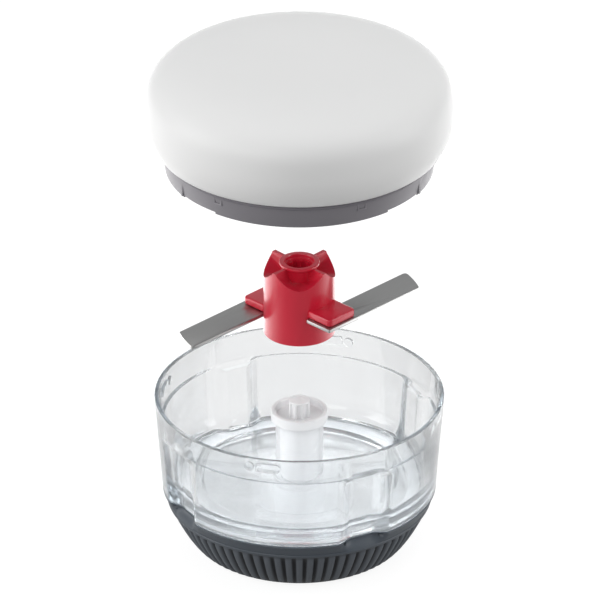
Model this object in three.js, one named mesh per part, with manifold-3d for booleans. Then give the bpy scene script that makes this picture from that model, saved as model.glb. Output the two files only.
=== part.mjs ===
// Hand crank food chopper, drawn apart: the lid with its gear train hangs above the blade hub,
// and the hub hangs above the clear bowl, which stands in its ribbed base.
// Millimetres, +Z up, origin at the centre of the base's foot, front towards -Y.
// A bearing is an angle about +Z, counted from the front towards +X.

import * as THREE from "three";
import { mergeVertices } from "three/addons/utils/BufferGeometryUtils.js";
import Module from "manifold-3d";

const wasm = await Module();
wasm.setup();

// Clearances
const seatGap = 0.3;
const runGap = 0.4;
const overrun = 1;
const mergeDistance = 0.0001;

// Facet counts
const domeFacets = 40;
const ringFacets = 44;
const smallFacets = 20;
const pinFacets = 12;
const arcFacets = 4;

// Clear bowl
const rimRadius = 70;
const rimHeight = 80;
const rimWall = 2.2;
const rimRound = 0.6;
const wallLeanShare = 0.0837;
const ledgeBelowRim = 13.4;
const ledgeHeight = rimHeight - ledgeBelowRim;
const lowerWall = 3.6;
const floorHeight = 34.5;
const floorThickness = 2.5;
const floorDiscRadius = 47.5;
const floorStep = 1.3;
const floorStepRun = 2;
const cornerRadius = 9;
const cornerSteps = 4;
const clearWallBottom = 31.4;
const rebateDepth = 2.7;
const bowlFootHeight = 29.7;
const bowlFootInner = 53.5;
const postRadius = 11.5;
const postBore = 9.3;
const postTop = 66.2;
const postFillet = 2;

// Flutes of the bowl's lower wall, the same outline in the base's lip
const fluteCount = 4;
const fluteBearing = THREE.MathUtils.degToRad(-61);
const fluteHalfAngle = THREE.MathUtils.degToRad(11);
const fluteFlatHalfAngle = THREE.MathUtils.degToRad(8);
const fluteDepthOutside = 4.6;
const fluteDepthInside = 3;
const fluteTopSlope = 1.6;
const facetsBetweenFlutes = 8;

// Bayonet marks inside the bowl's rim, and the lid's lugs that turn in below them
const markBearing = THREE.MathUtils.degToRad(-12.9);
const markHalfAngle = THREE.MathUtils.degToRad(5.2);
const markBelowRim = 7.8;
const markBottom = rimHeight - markBelowRim;
const markTall = 4.6;
const markInnerRadius = 66.15;
const dotBearing = THREE.MathUtils.degToRad(-20.8);
const dotRadius = 2.3;
const lidTwist = THREE.MathUtils.degToRad(15); // anticlockwise from above, to lock
const lugProud = 0.6;
const lugHalfAngle = THREE.MathUtils.degToRad(2.4);
const lugTall = 2.6;

// Base
const footRadius = 44.4;
const footInner = 37.5;
const footTall = 2.6;
const baseCurveShare = 0.573;
const lipHeight = 31.1;
const gripBottom = 1.6;
const gripTop = 23.6;
const gripThickness = 2.6;
const gripLevelShares = [0, 0.14, 0.45, 0.92, 1];
const ribCount = 72;
const ribDepth = 1.2;
const cupWall = 2.2;
const cupFloorTop = 5.1;
const cupBossBottom = 1;
const cupLedgeInner = 54.5;
const cupLedgeThickness = 2.2;
const bandBeadRise = 0.5;
const bandBeadTall = 1.2;
const boreBossWall = 2.6;

// Spindle and its sleeve
const stemRadius = 4.1;
const sleeveFlangeRadius = 11.8;
const sleeveFlangeThickness = 2.3;
const capRadius = 13.8;
const capTall = 5.1;
const capWall = 2.9;
const capRound = 0.4;
const capRecess = 3.4;
const pinMeanRadius = 5.35;
const splineDepth = 0.4;
const splineCount = 8;
const pinTall = 8.2;
const pinConeTall = 2.1;
const pinTipRadius = 1.2;
const stemTail = 2.6;
const clipThickness = 0.8;
const clipOuterRadius = 6.6;
const clipGrooveDepth = 0.8;
const clipOpening = THREE.MathUtils.degToRad(60);

// Blade hub
const hubRest = 114.9;
const hubRadius = 17.3;
const hubTall = 37.5;
const hubRound = 0.5;
const hubCavityRadius = 14.2;
const hubCeiling = 28.2;
const innerCollarRadius = 10.5;
const collarLipRadius = 9.75;
const collarLipTall = 1.1;
const collarNeckRadius = 8.3;
const collarMouthRadius = 6.8;
const collarMouthDepth = 3;
const saddleHeight = 29.6;
const crownHeight = 36.7;
const finHalfThickness = 1.2;
const valleyBearingsInDegrees = [0, 14, 26, 35, 41, 45, 49, 55, 64, 76];
const valleyRadiusShares = [1, 0.85, 0.7, 0.56];

// Blades and the tabs that hold them
const bladeTurn = THREE.MathUtils.degToRad(45.5);
const bladeReach = 59.6;
const bladeInnerEdge = 15.2;
const bladeWidth = 15.6;
const bladeTail = 10.8;
const bladeThickness = 1.7;
const bladeGrindWidth = 3;
const bladeEdgeThickness = 0.5;
const upperBladeTop = 15.1;
const lowerBladeTop = 6.6;
const tabFront = 8.7;
const tabBack = 9.3;
const tabOuterEdge = 29.6;
const tabRoot = 14.5;
const tabThickness = 3.7;
const tabBevel = 0.7;
const tabCorner = 1.4;
const pegRadius = 1.5;
const pegHeadRadius = 2.4;
const pegHeadTall = 1;
const pegPlaceShares = [[-0.5, 0.5], [0.5, 0.5]];

// Lid, in heights above the bowl's rim once the lid is closed
const lidRest = 137.3;
const skirtRadius = 65.9;
const skirtWall = 2.8;
const lugRadius = skirtRadius + lugProud;
const skirtBottom = -13.1;
const skirtNotch = 1;
const skirtNotchBearing = THREE.MathUtils.degToRad(46.3);
const skirtNotchHalfAngle = THREE.MathUtils.degToRad(9);
const skirtNotchEdge = THREE.MathUtils.degToRad(1);
const skirtQuarterSteps = 4;
const lugBottom = -10.6;
const sealBottom = -2.7;
const sealTall = 1.6;
const sealProud = 1;
const sealRadius = skirtRadius + sealProud;
const sealDepth = 1.8;
const gearFloorBottom = 5.2;
const gearFloorThickness = 2.2;
const bossRadius = 3.8;
const bossPitchRadius = 37.5;
const coverRadius = 42.4;
const coverThickness = 2.6;
const coverPostRadius = 5.5;
const coverPostTall = 7.1;
const coverBlindHole = 1.6;

// Gears
const gearModule = 2;
const ringTeeth = 45;
const planetTeeth = 18;
const sunTeeth = 9;
const planetCount = 3;
const pressureAngle = THREE.MathUtils.degToRad(25);
const addendumShare = 0.8;
const backlash = 0.3;
const gearThickness = 6.6;
const planetPinRadius = 2.5;
const shaftRadius = 3;
const shaftTop = 16.2;
const bushOuterRadius = 6;
const bushFlangeRadius = 8;
const bushFlangeThickness = 0.9;

// Driver under the lid
const crossPlateRadius = 16.5;
const crossPlateBottom = 1.6;
const crossPlateThickness = 2;
const crossArmInner = 11.6;
const crossArmHalfWidth = 1.9;
const crossArmBottom = -4.3;
const crossArmCount = 4;

// Rotor and dome
const ringGearOuterRadius = 50;
const rotorThickness = 2.2;
const rotorFlangeInset = 3.4;
const rotorFlangeRadius = skirtRadius - rotorFlangeInset;
const rotorUpstandInset = 2.8;
const rotorUpstandRadius = rotorFlangeRadius - rotorUpstandInset;
const rotorUpstandWall = 2.4;
const rotorUpstandTall = 8.4;
const rotorBossRadius = 9.5;
const keyCount = 6;
const keyWidth = 3.4;
const keyReach = 2;
const keyTall = 5.4;
const domeEdgeHeight = 0.5;
const domeSkirtGap = 3.4;
const domeEdgeRadius = skirtRadius + domeSkirtGap;
const domeSwell = 4.8;
const domeWidestRadius = domeEdgeRadius + domeSwell;
const domeWidestHeight = 16;
const domeCrownHeight = 42.5;
const domeRoundness = 3.72;
const domeWall = 2.4;
const domeRibWall = 2.2;
const domeLowerSteps = 4;
const domeUpperSteps = 10;

// Screws
const coverScrewRadius = 1.2;
const coverScrewHeadRadius = 2.7;
const coverScrewHeadTall = 1.3;
const coverScrewLength = 7.5;
const driveScrewHeadRadius = 3.4;
const driveScrewHeadTall = 2;
const driveScrewLength = 7;
const rotorScrewRadius = 1.6;
const rotorScrewHeadRadius = 4;
const rotorScrewHeadTall = 2.2;
const rotorScrewLength = 6;
const washerRadius = 9;
const washerThickness = 1;
const socketShare = 0.5;

// Finishes
const finishes = {
  clear: { color: 0xe6eef0, roughness: 0.05, metalness: 0, transparent: true, opacity: 0.35 },
  white: { color: 0xe4e4e6, roughness: 0.25, metalness: 0 },
  ringGrey: { color: 0x67636a, roughness: 0.5, metalness: 0 },
  red: { color: 0xc0202e, roughness: 0.3, metalness: 0 },
  blade: { color: 0x9a9c9e, roughness: 0.35, metalness: 1 },
  slate: { color: 0x4a5359, roughness: 0.6, metalness: 0 },
  rubber: { color: 0x2f3336, roughness: 0.8, metalness: 0 },
  nylon: { color: 0xe9e4d6, roughness: 0.5, metalness: 0 },
  steel: { color: 0xb4b6b8, roughness: 0.3, metalness: 1 },
  bronze: { color: 0xa9834e, roughness: 0.45, metalness: 1 },
};

// Geometry helpers

const fullTurn = 2 * Math.PI;

function evenBearings(count) {
  return Array.from({ length: count }, (_, i) => (i * fullTurn) / count);
}

// Merges shared corners, drops flat triangles and turns the faces outwards.
function closedBody(geometry) {
  const plain = geometry.clone();
  plain.deleteAttribute("normal");
  plain.deleteAttribute("uv");
  const merged = mergeVertices(plain, mergeDistance);
  const corners = merged.index.array;
  const index = [];
  for (let i = 0; i < corners.length; i += 3) {
    const [a, b, c] = corners.slice(i, i + 3);
    if (a !== b && b !== c && c !== a) index.push(a, b, c);
  }
  const place = merged.attributes.position;
  const point = (i) => new THREE.Vector3().fromBufferAttribute(place, i);
  let volume = 0;
  for (let i = 0; i < index.length; i += 3) {
    volume += point(index[i]).dot(point(index[i + 1]).cross(point(index[i + 2])));
  }
  if (volume < 0) index.reverse();
  const body = new THREE.BufferGeometry();
  body.setAttribute("position", place);
  body.setIndex(index);
  return body;
}

function toSolid(geometry) {
  const body = closedBody(geometry);
  const vertProperties = new Float32Array(body.attributes.position.array);
  const triVerts = new Uint32Array(body.index.array);
  return new wasm.Manifold(new wasm.Mesh({ numProp: 3, vertProperties, triVerts }));
}

function fromSolid(solid) {
  const mesh = solid.getMesh();
  const geometry = new THREE.BufferGeometry();
  geometry.setAttribute("position", new THREE.BufferAttribute(new Float32Array(mesh.vertProperties), 3));
  geometry.setIndex(Array.from(mesh.triVerts));
  return geometry;
}

function join(first, ...others) {
  return fromSolid(others.reduce((solid, other) => solid.add(toSolid(other)), toSolid(first)));
}

function cut(first, ...others) {
  return fromSolid(others.reduce((solid, other) => solid.subtract(toSolid(other)), toSolid(first)));
}

// A plain round body: outline points are [radius, height], closed on themselves or ended on the axis.
function roundBody(outline, facets) {
  const closed = outline[0][0] > 0 ? [...outline, outline[0]] : outline;
  const points = closed.map(([radius, height]) => new THREE.Vector2(radius, height));
  return closedBody(new THREE.LatheGeometry(points, facets).rotateX(Math.PI / 2));
}

function pipe(innerRadius, outerRadius, bottom, top, facets) {
  return roundBody([[innerRadius, bottom], [outerRadius, bottom], [outerRadius, top], [innerRadius, top]], facets);
}

function disc(radius, bottom, top, facets) {
  return roundBody([[0, bottom], [radius, bottom], [radius, top], [0, top]], facets);
}

// A round body whose outline changes with the bearing. Every outline has the same number of points.
function wavyBody(outlineAt, bearings) {
  const position = [];
  const axisPoints = new Map();
  const columns = bearings.map((bearing) => outlineAt(bearing).map(([radius, height], row) => {
    if (radius === 0 && axisPoints.has(row)) return axisPoints.get(row);
    position.push(radius * Math.sin(bearing), -radius * Math.cos(bearing), height);
    const corner = position.length / 3 - 1;
    if (radius === 0) axisPoints.set(row, corner);
    return corner;
  }));
  const index = [];
  columns.forEach((column, i) => {
    const next = columns[(i + 1) % columns.length];
    column.forEach((corner, row) => {
      const above = (row + 1) % column.length;
      index.push(corner, next[row], next[above], corner, next[above], column[above]);
    });
  });
  const geometry = new THREE.BufferGeometry();
  geometry.setAttribute("position", new THREE.Float32BufferAttribute(position, 3));
  geometry.setIndex(index);
  return closedBody(geometry);
}

// A full circle in the shape gets the given number of facets.
function extruded(shape, bottom, height, circleFacets = pinFacets) {
  return new THREE.ExtrudeGeometry(shape, { depth: height, bevelEnabled: false, curveSegments: circleFacets / 2 })
    .translate(0, 0, bottom);
}

// A curved block between two radii, centred on a bearing.
function arcBlock(innerRadius, outerRadius, bottom, height, bearing, halfAngle) {
  const start = bearing - Math.PI / 2 - halfAngle;
  const end = bearing - Math.PI / 2 + halfAngle;
  const shape = new THREE.Shape();
  shape.absarc(0, 0, outerRadius, start, end, false);
  shape.absarc(0, 0, innerRadius, end, start, true);
  shape.closePath();
  return extruded(shape, bottom, height, arcFacets);
}

function box(low, high) {
  const size = high.map((value, i) => value - low[i]);
  const centre = high.map((value, i) => (value + low[i]) / 2);
  return new THREE.BoxGeometry(...size).translate(...centre);
}

// Bowl and base outlines

const wallRadius = (height) => rimRadius - wallLeanShare * (rimHeight - height);

// Bearings with a column at each edge and centre of each flute and even columns between the flutes.
const fluteBearings = Array.from({ length: fluteCount }, (_, i) => {
  const centre = fluteBearing + (i * fullTurn) / fluteCount;
  const rest = fullTurn / fluteCount - 2 * fluteHalfAngle;
  const between = Array.from({ length: facetsBetweenFlutes - 1 }, (_, j) =>
    centre + fluteHalfAngle + (rest * (j + 1)) / facetsBetweenFlutes);
  return [
    centre - fluteHalfAngle,
    centre - fluteFlatHalfAngle,
    centre,
    centre + fluteFlatHalfAngle,
    centre + fluteHalfAngle,
    ...between,
  ];
}).flat();

// 1 on a flute's flat, 0 outside it.
function fluteShare(bearing) {
  const pitch = fullTurn / fluteCount;
  const offset = Math.abs(bearing - fluteBearing - pitch * Math.round((bearing - fluteBearing) / pitch));
  const share = (fluteHalfAngle - offset) / (fluteHalfAngle - fluteFlatHalfAngle);
  return THREE.MathUtils.clamp(share, 0, 1);
}

const rebateRadius = (bearing) =>
  wallRadius(clearWallBottom) - fluteDepthOutside * fluteShare(bearing) - rebateDepth;

function bowlOutline(bearing) {
  const outside = fluteDepthOutside * fluteShare(bearing);
  const inside = fluteDepthInside * fluteShare(bearing);
  const fluteTop = ledgeHeight - fluteTopSlope;
  const cornerFloor = floorHeight + floorStep;
  const cornerTop = cornerFloor + cornerRadius;
  const cornerCentre = wallRadius(cornerTop) - lowerWall - inside - cornerRadius;
  const corner = Array.from({ length: cornerSteps + 1 }, (_, i) => {
    const angle = (i / cornerSteps) * (Math.PI / 2);
    return [cornerCentre + cornerRadius * Math.cos(angle), cornerTop - cornerRadius * Math.sin(angle)];
  });
  return [
    [postBore, floorHeight - floorThickness],
    [floorDiscRadius, floorHeight - floorThickness],
    [bowlFootInner, bowlFootHeight],
    [rebateRadius(bearing), bowlFootHeight],
    [rebateRadius(bearing), clearWallBottom],
    [wallRadius(clearWallBottom) - outside, clearWallBottom],
    [wallRadius(fluteTop) - outside, fluteTop],
    [wallRadius(ledgeHeight), ledgeHeight],
    [wallRadius(rimHeight - rimRound), rimHeight - rimRound],
    [rimRadius - rimRound, rimHeight],
    [rimRadius - rimWall + rimRound, rimHeight],
    [wallRadius(rimHeight - rimRound) - rimWall, rimHeight - rimRound],
    [wallRadius(ledgeHeight) - rimWall, ledgeHeight],
    [wallRadius(ledgeHeight) - lowerWall - inside, ledgeHeight],
    ...corner,
    [floorDiscRadius + floorStepRun, cornerFloor],
    [floorDiscRadius, floorHeight],
    [postRadius + postFillet, floorHeight],
    [postRadius, floorHeight + postFillet],
    [postRadius, postTop],
    [postBore, postTop],
  ];
}

function bowl() {
  const pitch = fullTurn / fluteCount;
  const marks = Array.from({ length: fluteCount }, (_, i) => {
    const wallMiddle = wallRadius(markBottom) - rimWall / 2;
    const pill = arcBlock(markInnerRadius, wallMiddle, markBottom, markTall, markBearing + i * pitch, markHalfAngle);
    const dot = new THREE.CylinderGeometry(dotRadius, dotRadius, wallMiddle - markInnerRadius, pinFacets)
      .translate(0, -(wallMiddle + markInnerRadius) / 2, markBottom + markTall / 2)
      .rotateZ(dotBearing + i * pitch);
    return [pill, dot];
  });
  return join(wavyBody(bowlOutline, fluteBearings), ...marks.flat());
}

const baseRadius = (height) =>
  footRadius + (wallRadius(lipHeight) - footRadius) * (height / lipHeight) ** baseCurveShare;

const gripLevels = gripLevelShares.map((share) => gripBottom + share * (gripTop - gripBottom));
const cupSkin = gripThickness + seatGap;
const footTop = footTall + seatGap;

function cupOutline(bearing) {
  const recess = fluteDepthOutside * fluteShare(bearing);
  const inner = rebateRadius(bearing) + seatGap;
  const bandBottom = gripTop + seatGap;
  const beadTop = bandBottom + bandBeadTall;
  const bandMiddle = (beadTop + lipHeight) / 2;
  const ledge = bowlFootHeight - seatGap;
  const bossTop = flangeBottom - seatGap;
  const bossInner = clipOuterRadius + 2 * runGap + boreBossWall;
  const wallLevels = gripLevels.slice(1, -1);
  return [
    [0, cupBossBottom],
    [footInner - seatGap, cupBossBottom],
    [footInner - seatGap, footTop],
    [baseRadius(footTop) - cupSkin, footTop],
    ...wallLevels.map((height) => [baseRadius(height) - cupSkin, height]),
    [baseRadius(bandBottom) - cupSkin, bandBottom],
    [baseRadius(bandBottom) + bandBeadRise, bandBottom],
    [baseRadius(beadTop) + bandBeadRise, beadTop],
    [baseRadius(beadTop), beadTop + bandBeadRise],
    [baseRadius(bandMiddle) - recess / 2, bandMiddle],
    [wallRadius(clearWallBottom) - recess, lipHeight],
    [inner, lipHeight],
    [inner, ledge],
    [cupLedgeInner, ledge],
    [cupLedgeInner, ledge - cupLedgeThickness],
    ...wallLevels.slice(1).reverse().map((height) => [baseRadius(height) - cupSkin - cupWall, height]),
    [baseRadius(cupFloorTop) - cupSkin - cupWall, cupFloorTop],
    [bossInner + boreBossWall, cupFloorTop],
    [bossInner + boreBossWall, bossTop],
    [bossInner, bossTop],
    [bossInner, cupFloorTop],
    [0, cupFloorTop],
  ];
}

// Ribs run up the grip between its plain lower and upper edges.
function gripOutline(bearing) {
  const onRidge = Math.round((bearing * 2 * ribCount) / fullTurn) % 2 === 0;
  const groove = onRidge ? 0 : ribDepth;
  const last = gripLevels.length - 1;
  const outer = gripLevels.map((height, i) =>
    [baseRadius(height) - (i === 0 || i === last ? ribDepth / 2 : groove), height]);
  const inner = gripLevels.map((height) => [baseRadius(height) - gripThickness, height]).reverse();
  return [...outer, ...inner];
}

// Spindle

const flangeTop = floorHeight - floorThickness - seatGap;
const flangeBottom = flangeTop - sleeveFlangeThickness;
const capBottom = postTop + seatGap;
const capTop = capBottom + capTall;
const pinFoot = capTop - capRecess;
const clipTop = flangeBottom - runGap;
const clipBottom = clipTop - clipThickness;
const pinRadiusAt = (bearing) => pinMeanRadius + splineDepth * Math.cos(splineCount * bearing);

function postBush() {
  return roundBody([
    [stemRadius + seatGap, flangeBottom],
    [sleeveFlangeRadius, flangeBottom],
    [sleeveFlangeRadius, flangeTop],
    [postBore - seatGap, flangeTop],
    [postBore - seatGap, postTop],
    [stemRadius + seatGap, postTop],
  ], smallFacets);
}

function spindleOutline(bearing) {
  const pin = pinRadiusAt(bearing);
  const pinTop = pinFoot + pinTall;
  return [
    [0, clipBottom - stemTail],
    [stemRadius, clipBottom - stemTail],
    [stemRadius, clipBottom - seatGap],
    [stemRadius - clipGrooveDepth, clipBottom - seatGap],
    [stemRadius - clipGrooveDepth, clipTop + seatGap],
    [stemRadius, clipTop + seatGap],
    [stemRadius, capBottom],
    [capRadius - capRound, capBottom],
    [capRadius, capBottom + capRound],
    [capRadius, capTop - capRound],
    [capRadius - capRound, capTop],
    [capRadius - capWall, capTop],
    [capRadius - capWall, pinFoot],
    [pin, pinFoot],
    [pin, pinTop],
    [pinTipRadius, pinTop + pinConeTall],
    [0, pinTop + pinConeTall],
  ];
}

function spindleClip() {
  const shape = new THREE.Shape();
  const start = clipOpening / 2;
  const inner = stemRadius - clipGrooveDepth + seatGap;
  shape.absarc(0, 0, clipOuterRadius, start, fullTurn - start, false);
  shape.absarc(0, 0, inner, fullTurn - start, start, true);
  shape.closePath();
  return extruded(shape, clipBottom, clipThickness, smallFacets);
}

// Blade hub, in heights above its own bottom

const hubBearings = Array.from({ length: 4 }, (_, i) =>
  valleyBearingsInDegrees.map((degrees) => THREE.MathUtils.degToRad(degrees + 90 * i))).flat();

// Height of the crown: a round valley between each pair of fins, and the fins' flat tops.
function crownHeightAt(radius, bearing) {
  const quarter = Math.PI / 2;
  const offset = Math.abs(bearing - quarter * Math.round(bearing / quarter));
  const halfWidth = radius * Math.sin(quarter / 2) - finHalfThickness;
  const across = Math.min(1, (radius * Math.sin(offset)) / halfWidth);
  return saddleHeight + (crownHeight - saddleHeight) * (1 - Math.sqrt(1 - across ** 2));
}

function hubOutline(bearing) {
  const bore = pinRadiusAt(bearing) + runGap;
  const collarBottom = hubCeiling - capRecess + seatGap;
  const lipBottom = hubTall - collarLipTall;
  const neckFoot = crownHeightAt(collarLipRadius, bearing);
  const onFin = (neckFoot - saddleHeight) / (crownHeight - saddleHeight);
  const neckRadius = THREE.MathUtils.lerp(collarNeckRadius, collarLipRadius - hubRound, onFin);
  return [
    [hubCavityRadius, 0],
    [hubRadius - hubRound, 0],
    [hubRadius, hubRound],
    ...valleyRadiusShares.map((share) => [hubRadius * share, crownHeightAt(hubRadius * share, bearing)]),
    [neckRadius, neckFoot],
    [(collarLipRadius + neckRadius) / 2, Math.max(lipBottom, neckFoot + hubRound / 4)],
    [collarLipRadius, hubTall - hubRound],
    [collarLipRadius - hubRound, hubTall],
    [collarMouthRadius, hubTall],
    [collarMouthRadius, hubTall - collarMouthDepth],
    [bore, hubTall - collarMouthDepth - hubRound],
    [bore, collarBottom],
    [innerCollarRadius, collarBottom],
    [innerCollarRadius, hubCeiling],
    [hubCavityRadius, hubCeiling],
  ];
}

// A blade lies along +X of its own frame, with its inner edge towards the hub's axis.
const bladeOuterEdge = bladeInnerEdge + bladeWidth;
const pegPlaces = pegPlaceShares.map(([along, across]) => [
  along * tabFront,
  -THREE.MathUtils.lerp(tabRoot, tabOuterEdge, across) - pegRadius,
]);

function blade(top, turn) {
  const shape = new THREE.Shape();
  shape.moveTo(-bladeTail, -bladeInnerEdge);
  shape.lineTo(-bladeTail, -bladeOuterEdge);
  shape.absarc(0, 0, bladeReach, -Math.asin(bladeOuterEdge / bladeReach), -Math.asin(bladeInnerEdge / bladeReach), false);
  shape.closePath();
  const holes = pegPlaces.map(([x, y]) => {
    const hole = new THREE.Path();
    hole.absarc(x, y, pegRadius + seatGap, 0, fullTurn, true);
    return hole;
  });
  shape.holes.push(...holes);
  const bar = extruded(shape, top - bladeThickness, bladeThickness);
  const grindDrop = bladeThickness - bladeEdgeThickness;
  const wedge = new THREE.Shape();
  wedge.moveTo(-bladeOuterEdge + bladeGrindWidth, top - bladeThickness);
  wedge.lineTo(-bladeOuterEdge - overrun, top - bladeThickness + grindDrop * (1 + overrun / bladeGrindWidth));
  wedge.lineTo(-bladeOuterEdge - overrun, top - bladeThickness - overrun);
  wedge.lineTo(-bladeOuterEdge + bladeGrindWidth, top - bladeThickness - overrun);
  wedge.closePath();
  const grind = new THREE.ExtrudeGeometry(wedge, { depth: bladeReach - tabFront, bevelEnabled: false })
    .applyMatrix4(new THREE.Matrix4().makeBasis(
      new THREE.Vector3(0, 1, 0), new THREE.Vector3(0, 0, 1), new THREE.Vector3(1, 0, 0)))
    .translate(tabFront + overrun, 0, 0);
  return closedBody(cut(bar, grind).rotateZ(turn));
}

function bladeTab(top, turn) {
  const shape = new THREE.Shape();
  const [left, right, low, high] = [-tabBack, tabFront, -tabOuterEdge, -tabRoot];
  shape.moveTo(left + tabBevel, high);
  shape.lineTo(left + tabBevel, low + tabBevel + tabCorner);
  shape.lineTo(left + tabBevel + tabCorner, low + tabBevel);
  shape.lineTo(right - tabBevel - tabCorner, low + tabBevel);
  shape.lineTo(right - tabBevel, low + tabBevel + tabCorner);
  shape.lineTo(right - tabBevel, high);
  shape.closePath();
  const plate = new THREE.ExtrudeGeometry(shape, {
    depth: tabThickness - 2 * tabBevel,
    bevelSize: tabBevel,
    bevelThickness: tabBevel,
    bevelSegments: 1,
  }).translate(0, 0, top + seatGap + tabBevel);
  const keepOut = disc(hubCavityRadius + seatGap, 0, hubTall, smallFacets);
  const pegBottom = top - bladeThickness - seatGap;
  const pegs = pegPlaces.flatMap(([x, y]) => [
    disc(pegRadius, pegBottom - pegHeadTall, top + seatGap + tabBevel, pinFacets).translate(x, y, 0),
    disc(pegHeadRadius, pegBottom - pegHeadTall, pegBottom, pinFacets).translate(x, y, 0),
  ]);
  return join(cut(plate, keepOut), ...pegs).rotateZ(turn);
}

function bladeSlot(top, turn) {
  const low = [-bladeTail - overrun, -bladeOuterEdge, top - bladeThickness - seatGap];
  const high = [bladeTail + overrun, -bladeInnerEdge + seatGap, top + seatGap];
  return box(low, high).rotateZ(turn);
}

function bladeHub() {
  const body = wavyBody(hubOutline, hubBearings);
  const slots = [bladeSlot(upperBladeTop, bladeTurn), bladeSlot(lowerBladeTop, bladeTurn + Math.PI)];
  const tabs = [bladeTab(upperBladeTop, bladeTurn), bladeTab(lowerBladeTop, bladeTurn + Math.PI)];
  return join(cut(body, ...slots), ...tabs);
}

// Gears

const ringPitchRadius = (gearModule * ringTeeth) / 2;
const planetPitchRadius = (gearModule * planetTeeth) / 2;
const sunPitchRadius = (gearModule * sunTeeth) / 2;
const planetDistance = sunPitchRadius + planetPitchRadius;
const addendum = addendumShare * gearModule;

const involute = (angle) => Math.tan(angle) - angle;

// Outline of an involute gear whose first tooth points along +X.
function gearOutline(teeth, low, high, thinning) {
  const pitchRadius = (gearModule * teeth) / 2;
  const baseCircle = pitchRadius * Math.cos(pressureAngle);
  const halfTooth = (radius) => {
    const flank = involute(Math.acos(Math.min(1, baseCircle / radius)));
    return Math.PI / (2 * teeth) - thinning / (2 * pitchRadius) + involute(pressureAngle) - flank;
  };
  const radii = [low, pitchRadius, high];
  if (low > baseCircle) radii.splice(1, 1);
  if (low < baseCircle - addendum / 2) radii.splice(1, 0, baseCircle);
  const points = [];
  for (let tooth = 0; tooth < teeth; tooth += 1) {
    const centre = (tooth * fullTurn) / teeth;
    radii.forEach((radius) => points.push([radius, centre - halfTooth(radius)]));
    [...radii].reverse().forEach((radius) => points.push([radius, centre + halfTooth(radius)]));
  }
  return points.map(([radius, angle]) => new THREE.Vector2(radius * Math.cos(angle), radius * Math.sin(angle)));
}

function spurGear(teeth, boreRadius, bottom) {
  const pitchRadius = (gearModule * teeth) / 2;
  const shape = new THREE.Shape(gearOutline(teeth, pitchRadius - gearModule, pitchRadius + addendum, backlash / 2));
  const bore = new THREE.Path();
  bore.absarc(0, 0, boreRadius, 0, fullTurn, true);
  shape.holes.push(bore);
  return closedBody(extruded(shape, bottom, gearThickness));
}

// Lid heights that follow from each other

const gearFloorTop = gearFloorBottom + gearFloorThickness;
const gearBottom = gearFloorTop + runGap;
const gearTop = gearBottom + gearThickness;
const coverBottom = gearTop + runGap;
const coverTop = coverBottom + coverThickness;
const rotorBottom = coverTop + runGap;
const rotorTop = rotorBottom + rotorThickness;
const coverPostTop = coverTop + coverPostTall;
const planetAngles = Array.from({ length: planetCount }, (_, i) => (i * fullTurn) / planetCount);
const bossAngles = planetAngles.map((angle) => angle + Math.PI / planetCount);
const around = (radius, angle) => [radius * Math.cos(angle), radius * Math.sin(angle), 0];

// Bearings of the lid ring's columns, with one on each side of each notch edge.
const skirtBearings = Array.from({ length: 4 }, (_, i) => {
  const quarter = Math.PI / 2;
  const notchStart = quarter / 2 - skirtNotchHalfAngle;
  const run = notchStart * 2 - skirtNotchEdge;
  const low = Array.from({ length: 2 * skirtQuarterSteps + 1 }, (_, j) =>
    -run / 2 + (run * j) / (2 * skirtQuarterSteps));
  return [...low, notchStart + skirtNotchEdge / 2, quarter - notchStart - skirtNotchEdge / 2]
    .map((bearing) => bearing + skirtNotchBearing - quarter / 2 + i * quarter);
}).flat();

function lidRingOutline(bearing) {
  const quarter = Math.PI / 2;
  const turned = bearing - skirtNotchBearing + quarter / 2;
  const offset = Math.abs(turned - quarter * Math.round(turned / quarter));
  const bottom = offset < quarter / 2 - skirtNotchHalfAngle ? skirtBottom : skirtBottom + skirtNotch;
  const grooveRadius = sealRadius - sealDepth - seatGap;
  return [
    [skirtRadius - skirtWall, bottom],
    [skirtRadius, bottom],
    [skirtRadius, sealBottom - seatGap],
    [grooveRadius, sealBottom - seatGap],
    [grooveRadius, sealBottom + sealTall + seatGap],
    [skirtRadius, sealBottom + sealTall + seatGap],
    [skirtRadius, gearFloorTop],
    [bushOuterRadius + seatGap, gearFloorTop],
    [bushOuterRadius + seatGap, gearFloorBottom],
    [skirtRadius - skirtWall, gearFloorBottom],
  ];
}

function lidRing() {
  const lugs = Array.from({ length: fluteCount }, (_, i) => {
    const bearing = markBearing - lidTwist + (i * fullTurn) / fluteCount;
    return arcBlock(skirtRadius - skirtWall / 2, lugRadius, lugBottom, lugTall, bearing, lugHalfAngle);
  });
  const bosses = bossAngles.map((angle) =>
    disc(bossRadius, gearFloorBottom + seatGap, coverBottom - seatGap, pinFacets)
      .translate(...around(bossPitchRadius, angle)));
  const screwHoles = bossAngles.map((angle) =>
    disc(coverScrewRadius + seatGap, coverBottom - coverScrewLength, coverBottom + overrun, pinFacets)
      .translate(...around(bossPitchRadius, angle)));
  const pinHoles = planetAngles.map((angle) =>
    disc(planetPinRadius + seatGap, gearFloorBottom - overrun, gearFloorTop + overrun, pinFacets)
      .translate(...around(planetDistance, angle)));
  return cut(join(wavyBody(lidRingOutline, skirtBearings), ...lugs, ...bosses), ...screwHoles, ...pinHoles);
}

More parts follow.
